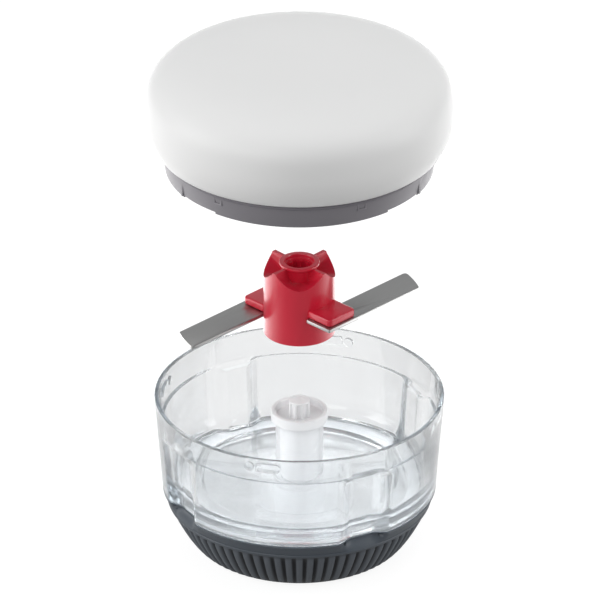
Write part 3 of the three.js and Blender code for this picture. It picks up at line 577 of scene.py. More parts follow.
def metal(name, colour, roughness, drift, line_scale, turn=0.0):
    """A ground or turned metal: turn is the direction of its lines, in degrees."""
    material, tree = new_material(name)
    place = added(tree, "TexCoord").outputs["Object"]
    along = added(tree, "Mapping", {"Vector": place, "Rotation": (0, 0, math.radians(-turn))})
    steel = added(tree, "Group", {
        "Vector": along.outputs[0], "Colour": (*colour, 1), "Line Scale": line_scale, "Tone Drift": drift,
        "Roughness": roughness, "Gloss Drift": METAL_GLOSS_DRIFT,
    }, node_tree=ground)
    shader = principled(tree, steel, steel.outputs["Colour"], LINE_DEPTH, {"Metallic": 1.0})
    added(tree, "OutputMaterial", {"Surface": shader.outputs[0]})
    return material


blade_steel = metal("blade_steel", (0.43, 0.425, 0.42), 0.36, 0.12, 1400.0, turn=BLADE_TURN)
plain_steel = metal("plain_steel", (0.55, 0.56, 0.57), 0.3, 0.1, 900.0)
bush_bronze = metal("bush_bronze", (0.50, 0.33, 0.15), 0.42, 0.15, 600.0)

# %% Clear plastic
CLEAR_TINT = (0.98, 0.985, 0.987)
CLEAR_IOR = 1.49
CLEAR_RELIEF = 0.00006
DEPTH_COLOUR = (0.62, 0.71, 0.78)
DEPTH_DENSITY = 16.0
STRAIGHT_SHARE = 0.25
STRAIGHT_TINT = (0.985, 0.988, 0.99)

clear_plastic, tree = new_material("clear_plastic")
skin = moulded_skin(tree, CLEAR_TINT, roughness=0.03, drift=0.01, gloss_drift=0.02, grain=60.0)
inputs = {"Transmission Weight": 1.0, "IOR": CLEAR_IOR}
shader = principled(tree, skin, skin.outputs["Colour"], CLEAR_RELIEF, inputs)
facing = added(tree, "LayerWeight", {"Blend": 0.5}).outputs["Facing"]
straight = added(tree, "MapRange", {"Value": facing, "To Min": STRAIGHT_SHARE, "To Max": 0.0})
shadow = added(tree, "LightPath").outputs["Is Shadow Ray"]
either = added(tree, "Math", {0: straight.outputs[0], 1: shadow}, operation="MAXIMUM")
opening = added(tree, "BsdfTransparent", {"Color": (*STRAIGHT_TINT, 1)})
choice = added(tree, "MixShader", {"Fac": either.outputs[0], 1: shader.outputs[0], 2: opening.outputs[0]})
depth = added(tree, "VolumeAbsorption", {"Color": (*DEPTH_COLOUR, 1), "Density": DEPTH_DENSITY})
added(tree, "OutputMaterial", {"Surface": choice.outputs[0], "Volume": depth.outputs[0]})
print("finishes:", len(bpy.data.materials))

# %% [markdown]
# ## The dome
# The dome is the hand crank: one moulding of white plastic with a flat crown, a soft shoulder and a skirt
# that draws in below the widest line. Its outline is a superellipse, which is what gives the flat crown and
# the tight shoulder in one curve. A rib inside grips the rotor, with a slot for each of the rotor's keys.

# %% Dome outline
DOME_EDGE = (69.3, 0.5)
DOME_EDGE_HALF = 0.6
DOME_EDGE_DROP = 0.3
DOME_WIDEST = (74.1, 16.0)
DOME_CROWN = 42.5
DOME_POWER = 2 / 3.72
DOME_WALL = 2.4
KEY_RIB_INNER = 60.0
KEY_RIB_OUTER = 62.2
KEY_RIB_BOTTOM = 20.3
KEY_RIB_DROP = 0.8
LATHE_STEPS = 144


def dome_skin(inset, lower_steps, upper_steps):
    """Dome outline from its edge to its crown, drawn in by the wall for the inside."""
    outline = []
    for i in range(lower_steps):
        height = DOME_EDGE[1] + (DOME_WIDEST[1] - DOME_EDGE[1]) * i / lower_steps
        drop = (DOME_WIDEST[1] - height) / (DOME_WIDEST[1] - DOME_EDGE[1])
        outline.append((DOME_WIDEST[0] - inset - (DOME_WIDEST[0] - DOME_EDGE[0]) * drop ** 2, height))
    for i in range(upper_steps + 1):
        angle = math.pi / 2 * i / upper_steps
        reach = 0 if i == upper_steps else (DOME_WIDEST[0] - inset) * math.cos(angle) ** DOME_POWER
        rise = (DOME_CROWN - DOME_WIDEST[1] - inset) * math.sin(angle) ** DOME_POWER
        outline.append((reach, DOME_WIDEST[1] + rise))
    return outline


outer = dome_skin(0, 10, 44)
inner = dome_skin(DOME_WALL, 5, 24)[::-1]
roof = min(height for radius, height in inner if radius < KEY_RIB_OUTER)
rib = [
    (KEY_RIB_INNER, roof), (KEY_RIB_INNER, KEY_RIB_BOTTOM),
    (KEY_RIB_OUTER, KEY_RIB_BOTTOM), (KEY_RIB_OUTER, roof - KEY_RIB_DROP),
]
inside = [p for p in inner if p[0] < KEY_RIB_INNER] + rib + [p for p in inner if p[0] > KEY_RIB_OUTER]
edge_middle = DOME_EDGE[0] - DOME_WALL / 2
edge_low = DOME_EDGE[1] - DOME_EDGE_DROP
edge_round = [(edge_middle - DOME_EDGE_HALF, edge_low), (edge_middle + DOME_EDGE_HALF, edge_low)]
dome = spun("dome_shell", outer + inside + edge_round, LATHE_STEPS, LID_HEIGHT)

# %% Slots for the rotor's keys
KEY_COUNT = 6
SLOT_LOW = (59.0, -2.0, LID_HEIGHT + 18.9)
SLOT_HIGH = (63.2, 2.0, LID_HEIGHT + 25.9)


def block(name, low, high, bearing, bevel=0.0):
    """A block between two corners in mm, turned round the axis. A bevel rounds its edges."""
    start_fresh()
    bpy.ops.mesh.primitive_cube_add(size=MM)
    piece = bpy.context.object
    piece.name = name
    piece.scale = Vector(high) - Vector(low)
    piece.location = (Vector(high) + Vector(low)) / 2 * MM
    settled(piece)
    if bevel:
        use_modifier(piece, "BEVEL", width=bevel * MM, segments=2, limit_method="NONE")
    return turned(piece, bearing)


slots = [block("slot", SLOT_LOW, SLOT_HIGH, 360 / KEY_COUNT * i) for i in range(KEY_COUNT)]
combine(dome, slots, "DIFFERENCE")
finished(dome, "crank", ["crank_dome"], white_gloss, smooth=40)

# %% [markdown]
# ## The lid ring
# Below the dome hangs a dark ring that plugs into the bowl and draws in towards its foot. Its lower edge is
# cut back in four places, an upright rib ends each of these notches, and a raised mark stands between them.
# The ring and the floor that carries the gears are one moulding, so they are one turned outline with holes.

# %% Ring body
SKIRT_RADIUS = 65.9
SKIRT_FOOT = 64.4
SKIRT_WALL = 2.8
SKIRT_INNER = SKIRT_RADIUS - SKIRT_WALL
SKIRT_BOTTOM = -13.1
GEAR_FLOOR = 5.2
GEAR_FLOOR_TOP = 7.4
SEAL_BOTTOM = -2.7
SEAL_TOP = -1.1
GROOVE_RADIUS = 64.8
BUSH_HOLE = 6.3

ring = spun("lid_ring_body", rounded([
    (SKIRT_FOOT - SKIRT_WALL, SKIRT_BOTTOM, 0.5),
    (SKIRT_FOOT, SKIRT_BOTTOM, 0.6),
    (SKIRT_RADIUS, SEAL_BOTTOM - SEAT_GAP, 0.2),
    (GROOVE_RADIUS, SEAL_BOTTOM - SEAT_GAP),
    (GROOVE_RADIUS, SEAL_TOP + SEAT_GAP),
    (SKIRT_RADIUS, SEAL_TOP + SEAT_GAP, 0.2),
    (SKIRT_RADIUS, GEAR_FLOOR_TOP, 0.5),
    (BUSH_HOLE, GEAR_FLOOR_TOP),
    (BUSH_HOLE, GEAR_FLOOR),
    (SKIRT_INNER, GEAR_FLOOR, 1.2),
]), LATHE_STEPS, LID_HEIGHT)

# %% Bosses, ribs and marks
BOSS_RADIUS = 3.8
BOSS_TOP = 14.5
BOSS_PLACES = [(37.5, 60 + 120 * i) for i in range(3)]
RING_RIB_BEARINGS = [61.8, -59.5, 241.8, 120.5]
RING_RIB_LOW = (-0.9, -65.45, LID_HEIGHT - 12.3)
RING_RIB_HIGH = (0.9, -63.8, LID_HEIGHT - 4.1)
RING_MARK_BEARINGS = [27.1, -36.4, 207.1, 143.6]
RING_MARK_BARS = [((-2.4, -6.6), (-1.6, -3.2)), ((1.6, -6.6), (2.4, -3.2)), ((-2.4, -6.6), (2.4, -5.8))]
RING_MARK_FRONT = -65.85
RING_MARK_BACK = -65.0


def post(name, radius, bottom, top, place, facets=24):
    """A closed round post in mm, to join or to cut with."""
    start_fresh()
    bpy.ops.mesh.primitive_cylinder_add(
        vertices=facets, radius=radius * MM, depth=(top - bottom) * MM,
        location=Vector((*place, (top + bottom) / 2)) * MM,
    )
    bpy.context.object.name = name
    return settled(bpy.context.object)


def on_circle(distance, degrees):
    """The (x, y) place at a distance from the axis, at an angle from the right."""
    return distance * math.cos(math.radians(degrees)), distance * math.sin(math.radians(degrees))


extras = []
for distance, degrees in BOSS_PLACES:
    foot = LID_HEIGHT + GEAR_FLOOR + 0.5
    extras.append(post("boss", BOSS_RADIUS, foot, LID_HEIGHT + BOSS_TOP, on_circle(distance, degrees), 32))
for bearing in RING_RIB_BEARINGS:
    extras.append(block("rib", RING_RIB_LOW, RING_RIB_HIGH, bearing, 0.3))
for bearing in RING_MARK_BEARINGS:
    for (left, foot), (right, head) in RING_MARK_BARS:
        low = (left, RING_MARK_FRONT, LID_HEIGHT + foot)
        high = (right, RING_MARK_BACK, LID_HEIGHT + head)
        extras.append(block("mark", low, high, bearing, 0.05))
combine(ring, extras, "UNION")

# %% Notches and holes
SCREW_HOLE = 1.5
SCREW_LOW = LID_HEIGHT + 7.3
SCREW_HIGH = LID_HEIGHT + 16
PIN_HOLE = 2.8
PIN_LOW = LID_HEIGHT + 4
PIN_HIGH = LID_HEIGHT + 9
PIN_PLACES = [(27.0, 120 * i) for i in range(3)]
NOTCH_BEARINGS = [51.3, -48.8, 231.3, 131.2]
NOTCH_HALF = 10.3
NOTCH_OUTLINE = [(58, -NOTCH_HALF), (58, NOTCH_HALF), (70, NOTCH_HALF), (72, 0), (70, -NOTCH_HALF)]
NOTCH_BOTTOM = -15.0
NOTCH_TOP = -11.8

cuts = []
for screw, pin in zip(BOSS_PLACES, PIN_PLACES):
    cuts.append(post("screw_hole", SCREW_HOLE, SCREW_LOW, SCREW_HIGH, on_circle(*screw), 20))
    cuts.append(post("pin_hole", PIN_HOLE, PIN_LOW, PIN_HIGH, on_circle(*pin)))
for bearing in NOTCH_BEARINGS:
    outline = [on_circle(radius, bearing - 90 + angle) for radius, angle in NOTCH_OUTLINE]
    cuts.append(plate("notch", outline, LID_HEIGHT + NOTCH_BOTTOM, NOTCH_TOP - NOTCH_BOTTOM))
combine(ring, cuts, "DIFFERENCE")
finished(ring, "lid_frame", ["lid_ring"], ring_grey)

# %% Seal
SEAL_INNER = 65.1
SEAL_OUTER = 66.6
SEAL_LIP = 66.9

seal = spun("lid_seal_lip", rounded([
    (SEAL_INNER, SEAL_BOTTOM, 0.2),
    (SEAL_OUTER, SEAL_BOTTOM, 0.3),
    (SEAL_LIP, SEAL_BOTTOM + 0.8, 0.3),
    (SEAL_OUTER, SEAL_TOP, 0.3),
    (SEAL_INNER, SEAL_TOP, 0.2),
], 3), LATHE_STEPS, LID_HEIGHT)
finished(seal, "seal", ["lid_seal"], seal_rubber, smooth=45)

# %% [markdown]
# ## The blade hub
# The hub is a red cup that drops over the bowl's post. Its crown is cut by four valleys, so that four fins
# stand between them, and the driver's arms fall into the valleys. A splined collar rises in the middle.
# Cutting is the natural way: a plain cup, less four valley cutters that narrow towards the axis, plus a
# collar, less its stepped mouth and the splined bore. Each cutter is bridged between drawn sections, gently
# curved ones in front and steep ones at the collar. The edges are rounded at the end, as the mould's own are.

# %% Hub cup
HUB_RADIUS = 17.3
HUB_CAVITY = 14.2
HUB_CEILING = 28.2
HUB_CROWN = 36.7
HUB_SADDLE = 29.6
HUB_TALL = 37.5
SMALL_STEPS = 96

hub = spun("hub_body", [
    (HUB_CAVITY, 0), (HUB_RADIUS, 0), (HUB_RADIUS, HUB_CROWN), (0, HUB_CROWN),
    (0, HUB_CEILING), (HUB_CAVITY, HUB_CEILING),
], SMALL_STEPS, HUB_BOTTOM)

# %% Valley cutters
# Each section stands at a distance in front of the axis; a higher roundness gives it steeper flanks.
FIN_OUTER_HALF = 1.4
VALLEY_REACH = 20.0
VALLEY_SLIT = 0.2
VALLEY_STEPS = 20
VALLEY_TOP = HUB_CROWN + 4
VALLEY_ROUNDNESS = {20.0: 1.45, 14.0: 1.45, 8.5: 7.0, 0.8: 12.0}


def valley_section(half_width, distance, roundness):
    """A closed section of a valley across the line of sight."""
    points = []
    for i in range(VALLEY_STEPS + 1):
        share = math.sin(math.pi / 2 * (2 * i / VALLEY_STEPS - 1))
        drop = (HUB_CROWN - HUB_SADDLE) * (1 - abs(share) ** roundness)
        points.append((half_width * share, -distance, HUB_BOTTOM + HUB_CROWN - drop))
    for x in (half_width, -half_width):
        points.append((x, -distance, HUB_BOTTOM + VALLEY_TOP))
    return drawn_line("valley", [*points, points[0]])


def valley(bearing):
    """A trough as wide as the gap between two fins: an open curve in front, a steep channel at the collar."""
    widest = VALLEY_REACH - FIN_OUTER_HALF * math.sqrt(2)
    nearest = min(VALLEY_ROUNDNESS)
    sections = []
    for distance, roundness in VALLEY_ROUNDNESS.items():
        share = (distance - nearest) / (VALLEY_REACH - nearest)
        half_width = VALLEY_SLIT + (widest - VALLEY_SLIT) * share
        sections.append(valley_section(half_width, distance, roundness))
    front = sections[0]
    pick(front)
    for section in sections:
        section.select_set(True)
    bpy.ops.object.join()
    edit(front)
    bpy.ops.mesh.select_all(action="SELECT")
    bpy.ops.mesh.remove_doubles(threshold=MERGE_DISTANCE / 2)
    bpy.ops.mesh.bridge_edge_loops()
    bpy.ops.mesh.select_all(action="SELECT")
    bpy.ops.mesh.fill_holes(sides=0)
    close_up()
    return turned(front, bearing)


combine(hub, [valley(90 * i) for i in range(4)], "DIFFERENCE")

# %% Collar
# It has a slim neck and a wider rim. A disc below the cup's ceiling makes the bore longer.
COLLAR_BOTTOM = 26.0
COLLAR_NECK = 8.1
COLLAR_RIM = 9.75
MOUTH_FLOOR = HUB_TALL - 3.0
MOUTH_RADIUS = 6.35
MOUTH_RIM = 7.6
DISC_RADIUS = 10.5
DISC_BOTTOM = 25.1
DISC_TOP = 29.0

collar = spun("collar", rounded([
    (0, COLLAR_BOTTOM),
    (COLLAR_NECK, COLLAR_BOTTOM),
    (COLLAR_NECK, 29.4),
    (8.5, 35.2, 0.4),
    (9.3, 35.8, 0.2),
    (COLLAR_RIM, 36.3, 0.2),
    (COLLAR_RIM, HUB_TALL, 0.45),
    (0, HUB_TALL),
]), SMALL_STEPS, HUB_BOTTOM)
mouth = spun("mouth", rounded([
    (0, MOUTH_FLOOR),
    (MOUTH_RADIUS, MOUTH_FLOOR),
    (6.45, MOUTH_FLOOR + 1.1, 0.2),
    (6.95, MOUTH_FLOOR + 1.3, 0.2),
    (7.1, HUB_TALL - 0.4, 0.3),
    (MOUTH_RIM, HUB_TALL + 0.3),
    (MOUTH_RIM, HUB_TALL + 2),
    (0, HUB_TALL + 2),
]), SMALL_STEPS, HUB_BOTTOM)
disc_line = [(0, DISC_BOTTOM), (DISC_RADIUS, DISC_BOTTOM), (DISC_RADIUS, DISC_TOP), (0, DISC_TOP)]
disc = spun("disc", disc_line, SMALL_STEPS, HUB_BOTTOM)
combine(hub, [collar, disc], "UNION")
combine(hub, [mouth], "DIFFERENCE")

# %% Splined bore
SPLINES = 8
SPLINE_POINTS = 14
SPLINE_POWER = 0.35
BORE_MEAN = 5.75
BORE_DEPTH = 0.4
BORE_BOTTOM = 20.0
BORE_TOP = 36.0


def splined(name, mean, depth, bottom, top):
    """A prism whose outline swells and shrinks once for each spline. A groove is in front."""
    count = SPLINES * SPLINE_POINTS
    outline = []
    for i in range(count):
        angle = 2 * math.pi * i / count
        wave = -math.cos(SPLINES * angle)
        radius = mean + depth * math.copysign(abs(wave) ** SPLINE_POWER, wave)
        outline.append((radius * math.sin(angle), -radius * math.cos(angle)))
    return plate(name, outline, bottom, top - bottom)


bore = splined("bore", BORE_MEAN, BORE_DEPTH, HUB_BOTTOM + BORE_BOTTOM, HUB_BOTTOM + BORE_TOP)
combine(hub, [bore], "DIFFERENCE")

# %% [markdown]
# ## Tabs and blades
# Each blade is a flat strip that passes beside the axis, and a tab of the hub grips it from above with two
# pegs. The blades are ground along the outer edge and slightly rounded at the tip. The two arms are the same
# part, turned by half a turn and set at two heights, so one function makes both.

# %% Tabs
BLADE_REACH = 59.6
BLADE_INNER = 15.2
BLADE_OUTER = 30.8
BLADE_TAIL = 10.8
BLADE_THICK = 1.7
TAB_LEFT = -9.3
TAB_RIGHT = 8.7
TAB_OUTER = -29.6
TAB_ROOT = -14.5
TAB_CORNER = 2.2
TAB_SOFT = 0.9
TAB_THICK = 3.95
TAB_GAP = 0.05
TAB_KEEP_OUT = 14.6
OVERRUN = 1.5
PEG_PLACES = [(-4.35, -23.55), (4.35, -23.55)]
PEG_RADIUS = 1.5
PEG_HEAD = 2.4
PEG_REACH = 3.3
PEG_HEAD_TALL = 1.0
ARMS = {"upper": (15.1, BLADE_TURN), "lower": (6.6, BLADE_TURN + 180)}


def tab(top, degrees):
    """A plate with chamfered and rounded edges, and two pegs that pass through the blade."""
    bottom = HUB_BOTTOM + top + TAB_GAP
    outline = rounded([
        (TAB_LEFT, TAB_ROOT), (TAB_LEFT, TAB_OUTER, TAB_CORNER),
        (TAB_RIGHT, TAB_OUTER, TAB_CORNER), (TAB_RIGHT, TAB_ROOT),
    ], 5)
    slab = plate("tab", outline, bottom, TAB_THICK)
    soften(slab, TAB_SOFT, 3, 40)
    keep_out = post("keep_out", TAB_KEEP_OUT, bottom - OVERRUN, bottom + TAB_THICK + OVERRUN, (0, 0), 48)
    combine(slab, [keep_out], "DIFFERENCE")
    parts = [slab]
    for place in PEG_PLACES:
        foot = bottom - PEG_REACH
        parts.append(post("peg", PEG_RADIUS, foot, bottom + 1, place))
        parts.append(post("peg_head", PEG_HEAD, foot, foot + PEG_HEAD_TALL, place))
    return [turned(part, degrees) for part in parts]


slots = []
for top, degrees in ARMS.values():
    low = (-BLADE_TAIL - 1, -BLADE_OUTER, HUB_BOTTOM + top - BLADE_THICK - SEAT_GAP)
    high = (BLADE_TAIL + 1, -BLADE_INNER + SEAT_GAP, HUB_BOTTOM + top + SEAT_GAP)
    slots.append(block("slot", low, high, degrees))
combine(hub, slots, "DIFFERENCE")
soften(hub, 0.35, 2, 38)
tabs = [part for top, degrees in ARMS.values() for part in tab(top, degrees)]
combine(hub, tabs, "UNION")
finished(hub, "blade", ["blade_hub"], hub_red, smooth=35)


# %% Blades
TIP_STEPS = 8
GRIND_START = 8.9
GRIND_LONG = 60.0
GRIND_WIDE = 3.0
GRIND_DEEP = 1.6
PEG_HOLE = 1.8


def blade(name, top, degrees):
    """A flat strip with an arc-shaped tip, ground thin along its outer edge."""
    first = -math.asin(BLADE_OUTER / BLADE_REACH)
    last = -math.asin(BLADE_INNER / BLADE_REACH)
    tip = []
    for i in range(TIP_STEPS + 1):
        angle = first + (last - first) * i / TIP_STEPS
        tip.append((BLADE_REACH * math.cos(angle), BLADE_REACH * math.sin(angle)))
    corners = [(-BLADE_TAIL, -BLADE_INNER, 0.6), (-BLADE_TAIL, -BLADE_OUTER, 0.6)]
    outline = rounded([*corners, (*tip[0], 1.2), *tip[1:-1], (*tip[-1], 1.6)])
    top += HUB_BOTTOM
    bottom = top - BLADE_THICK
    piece = plate(name, outline, bottom, BLADE_THICK)
    wedge = drawn_line("wedge", [
        (GRIND_START, -BLADE_OUTER + GRIND_WIDE, bottom),
        (GRIND_START, -BLADE_OUTER - 1, bottom + GRIND_DEEP),
        (GRIND_START, -BLADE_OUTER - 1, bottom - 1),
        (GRIND_START, -BLADE_OUTER + GRIND_WIDE, bottom - 1),
    ])
    pulled(wedge, (GRIND_LONG, 0, 0))
    holes = [post("hole", PEG_HOLE, bottom - OVERRUN, top + OVERRUN, place) for place in PEG_PLACES]
    combine(piece, [wedge, *holes], "DIFFERENCE")
    soften(piece, 0.12, 2, 35)
    return turned(piece, degrees)


for side, (top, degrees) in ARMS.items():
    arm = blade("blade_arm_" + side, top, degrees)
    finished(arm, "blade", ["blade_" + side], blade_steel)

# %% [markdown]
# ## The clear bowl
# The bowl is one clear moulding: a rim band, a ledge inside, a thicker lower wall with four shallow flutes, a
# floor with a step, and a hollow post. It is spun as one closed outline, with one column per degree, and the
# flutes are then pressed in by scaling the right columns towards the axis. Clear plastic shows both of its
# surfaces, so the inside is modelled as carefully as the outside.

# %% Select by place
def choose(test):
    """In edit mode, selects and counts the vertices whose radius, bearing and height pass a test."""
    bpy.ops.mesh.select_mode(type="VERT")
    mesh = bmesh.from_edit_mesh(bpy.context.object.data)
    count = 0
    for vertex in mesh.verts:
        x, y, z = vertex.co / MM
        vertex.select = test(math.hypot(x, y), math.degrees(math.atan2(x, -y)), z)
        count += vertex.select
    mesh.select_flush_mode()
    bmesh.update_edit_mesh(bpy.context.object.data)
    return count


def draw_in(radius, depth):
    """Scales what is selected towards the axis, so that it moves in by a depth at the given radius."""
    factor = (radius - depth) / radius
    bpy.ops.transform.resize(value=(factor, factor, 1), center_override=(0, 0, 0))


def smooth_step(low, high, value):
    """A share that rises softly from 0 at the low value to 1 at the high one."""
    share = min(1.0, max(0.0, (value - low) / (high - low)))
    return share * share * (3 - 2 * share)


# %% Bowl body
FLOOR_HEIGHT = 34.5
FLOOR_THICK = 2.5
FLOOR_DISC = 47.5
FLOOR_STEP = 1.3
BOWL_FOOT = 29.7
REBATE = 2.7
RIM_WALL = 2.2
LOWER_WALL = 3.6
FLOOR_EDGE = 53.5
CORNER_ROUND = 9.0
FLUTE_RADIUS = 66.0
FLUTE_TOP_ROWS = {63.2: 1.0, 64.4: 0.75, 65.4: 0.25}
FLUTE_FLAT = 4.8
FLUTE_EDGE = 12.4
BOWL_STEPS = 360

corner_floor = FLOOR_HEIGHT + FLOOR_STEP
rebate_radius = wall_radius(CLEAR_BOTTOM) - REBATE
bowl = spun("bowl_shell", rounded([
    (POST_BORE, FLOOR_HEIGHT - FLOOR_THICK),
    (FLOOR_DISC, FLOOR_HEIGHT - FLOOR_THICK),
    (FLOOR_EDGE, BOWL_FOOT, 0.5),
    (rebate_radius, BOWL_FOOT, 0.4),
    (rebate_radius, CLEAR_BOTTOM),
    (wall_radius(CLEAR_BOTTOM), CLEAR_BOTTOM, 0.5),
    *[(wall_radius(z), z) for z in FLUTE_TOP_ROWS],
    (wall_radius(LEDGE_HEIGHT), LEDGE_HEIGHT),
    (RIM_RADIUS, RIM_HEIGHT, 0.7),
    (RIM_RADIUS - RIM_WALL, RIM_HEIGHT, 0.7),
    (wall_radius(LEDGE_HEIGHT) - RIM_WALL, LEDGE_HEIGHT, 0.4),
    (wall_radius(LEDGE_HEIGHT) - LOWER_WALL, LEDGE_HEIGHT, 0.5),
    (wall_radius(corner_floor) - LOWER_WALL, corner_floor, CORNER_ROUND),
    (FLOOR_DISC + 2, corner_floor, 0.6),
    (FLOOR_DISC, FLOOR_HEIGHT, 0.6),
    (POST_RADIUS, FLOOR_HEIGHT, 2.0),
    (POST_RADIUS, POST_TOP, 0.5),
    (POST_BORE, POST_TOP, 0.3),
], 6), BOWL_STEPS)


# %% Press the flutes in
ROW_ABOVE = 0.3
INSIDE_FOOT = 50.5


def flute_offset(bearing):
    """Degrees from the middle of the nearest flute."""
    return abs((bearing - FLUTE_BEARING + 45) % 90 - 45)


def flute_shares():
    """Each whole-degree column beside a flute's middle that moves, with its share of the depth."""
    return [(step, smooth_step(FLUTE_EDGE, FLUTE_FLAT, step)) for step in range(math.ceil(FLUTE_EDGE))]


def on_column(bearing, step):
    """Whether a bearing is on a flute's column that lies so many degrees off its middle."""
    return abs(flute_offset(bearing) - step) < 0.25


def outside_share(height):
    """The outside of a flute runs out softly below the ledge."""
    for row, share in FLUTE_TOP_ROWS.items():
        if height < row + ROW_ABOVE:
            return share
    return 0.0


def outside_rows(radius, height):
    """Whether a vertex of the bowl is on its outside."""
    return radius > wall_radius(height) - REBATE - ROW_ABOVE


def inside_rows(radius, height):
    """Whether a vertex of the bowl is on the inside of its lower wall, the ledge included."""
    on_wall = INSIDE_FOOT < radius < wall_radius(height) - REBATE - 2 * ROW_ABOVE
    return on_wall and corner_floor - ROW_ABOVE < height < LEDGE_HEIGHT + 2 * ROW_ABOVE


edit(bowl)
moved_count = 0
for step, share in flute_shares():
    moved_count += choose(lambda r, b, z: on_column(b, step) and inside_rows(r, z))
    draw_in(FLUTE_RADIUS, FLUTE_INSIDE * share)
    for run_out in sorted(set(FLUTE_TOP_ROWS.values())):
        moved_count += choose(lambda r, b, z: on_column(b, step) and outside_rows(r, z)
                              and outside_share(z) == run_out)
        draw_in(FLUTE_RADIUS, FLUTE_OUTSIDE * share * run_out)
bpy.ops.object.mode_set(mode="OBJECT")
print("flutes moved", moved_count, "vertices")

# %% Marks inside the rim
# Each mark has its bearing, half its width and the rounding of its left and right corners.
RIM_MARKS = {"pill": (-12.9, 6.0, 0.8, 2.2), "dot": (-20.8, 2.3, 2.25, 2.25)}
RIM_MARK_INNER = 66.15
RIM_MARK_OUTER = 68.4
RIM_MARK_LOW = 72.2
RIM_MARK_HIGH = 76.8


def rim_mark(name, turn):
    """A raised mark on the inside of the rim, drawn upright in front and turned to its bearing."""
    bearing, half, left, right = RIM_MARKS[name]
    outline = rounded([
        (-half, RIM_MARK_LOW, left), (half, RIM_MARK_LOW, right),
        (half, RIM_MARK_HIGH, right), (-half, RIM_MARK_HIGH, left),
    ], 6)
    piece = drawn_line(name, [(x, -RIM_MARK_OUTER, z) for x, z in outline])
    pulled(piece, (0, RIM_MARK_OUTER - RIM_MARK_INNER, 0))
    soften(piece, 0.3, 2, 50)
    return turned(piece, bearing + turn)


combine(bowl, [rim_mark(name, 90 * i) for i in range(4) for name in RIM_MARKS], "UNION")
finished(bowl, "root", ["bowl"], clear_plastic, smooth=28)

# %% [markdown]
# ## Sleeve and spindle
# A white bearing sleeve fills the hollow post, and the spindle turns in it: a cap ring with a splined pin in
# its recess. The pin has as many splines as the hub's bore but is slimmer, and its cone leads the hub on.

# %% Sleeve
# It is pressed in, a hair larger than the bore, so no film of air between the two plastics mirrors the light.
PRESS_FIT = 0.08
STEM_RADIUS = 4.1
FLANGE_RADIUS = 11.8
FLANGE_TOP = FLOOR_HEIGHT - FLOOR_THICK - SEAT_GAP
FLANGE_BOTTOM = FLANGE_TOP - 2.3

sleeve = spun("post_sleeve", rounded([
    (STEM_RADIUS + SEAT_GAP, FLANGE_BOTTOM),
    (FLANGE_RADIUS, FLANGE_BOTTOM, 0.3),
    (FLANGE_RADIUS, FLANGE_TOP, 0.2),
    (POST_BORE + PRESS_FIT, FLANGE_TOP),
    (POST_BORE + PRESS_FIT, POST_TOP, 0.3),
    (STEM_RADIUS + SEAT_GAP, POST_TOP, 0.3),
]), SMALL_STEPS)
finished(sleeve, "root", ["post_bush"], white_moulding)

# %% Spindle
CAP_RADIUS = 13.8
CAP_WALL = 2.3
CAP_BOTTOM = POST_TOP + SEAT_GAP
CAP_TOP = CAP_BOTTOM + 5.1
PIN_FOOT = CAP_TOP - 3.4
PIN_TOP = PIN_FOOT + 8.2
PIN_MEAN = 4.8
PIN_FLUTE = 0.6
PIN_HEAD = 5.2
PIN_POINT = 1.2
CLIP_TOP = FLANGE_BOTTOM - 0.4
CLIP_BOTTOM = CLIP_TOP - 0.8
CLIP_NECK = STEM_RADIUS - 0.8
STEM_BOTTOM = CLIP_BOTTOM - 2.6

spindle = spun("spindle_head", rounded([
    (0, STEM_BOTTOM),
    (STEM_RADIUS, STEM_BOTTOM, 0.4),
    (STEM_RADIUS, CLIP_BOTTOM - SEAT_GAP),
    (CLIP_NECK, CLIP_BOTTOM - SEAT_GAP),
    (CLIP_NECK, CLIP_TOP + SEAT_GAP),
    (STEM_RADIUS, CLIP_TOP + SEAT_GAP),
    (STEM_RADIUS, CAP_BOTTOM),
    (CAP_RADIUS, CAP_BOTTOM, 0.5),
    (CAP_RADIUS, CAP_TOP, 0.7),
    (CAP_RADIUS - CAP_WALL, CAP_TOP, 0.5),
    (CAP_RADIUS - CAP_WALL, PIN_FOOT, 0.6),
    (0, PIN_FOOT),
]), SMALL_STEPS)
pin = splined("pin", PIN_MEAN, PIN_FLUTE, PIN_FOOT - 1, PIN_TOP)
cone = spun("cone", rounded([
    (0, PIN_TOP - 0.5),
    (PIN_HEAD, PIN_TOP - 0.5, 0.2),
    (PIN_HEAD, PIN_TOP + 0.3, 0.4),
    (PIN_POINT, PIN_TOP + 2.1, 0.8),
    (0, PIN_TOP + 2.2),
]), 64)
combine(spindle, [pin, cone], "UNION")
finished(spindle, "spindle", ["spindle_cap"], white_moulding, smooth=35)

# %% [markdown]
# ## The base
# The base is a slate cup with a smooth band that follows the bowl's flutes, and a soft ribbed skin below the
# band. The cup is pale inside: the photograph shows a light floor through the clear bowl. The ribs are made
# from one plain skin whose columns are drawn in by eights, a rounded ridge and a narrow groove at a time.

# %% Base outline
BASE_CURVE = 0.573
GRIP_BOTTOM = 1.6
GRIP_TOP = 23.6
GRIP_THICK = 2.6
CUP_SKIN = GRIP_THICK + SEAT_GAP
CUP_WALL = 2.2
CUP_FLOOR = 5.1
FOOT_TALL = 2.6
FOOT_INNER = 37.5


def base_radius(height):
    """Outside radius of the base: it curves out quickly above the foot and then rises more steeply."""
    return FOOT_RADIUS + (wall_radius(LIP_HEIGHT) - FOOT_RADIUS) * (height / LIP_HEIGHT) ** BASE_CURVE


GRIP_SHARES = [0, 0.03, 0.08, 0.15, 0.27, 0.42, 0.6, 0.78, 0.9, 0.95, 1]
grip_heights = [GRIP_BOTTOM + share * (GRIP_TOP - GRIP_BOTTOM) for share in GRIP_SHARES]

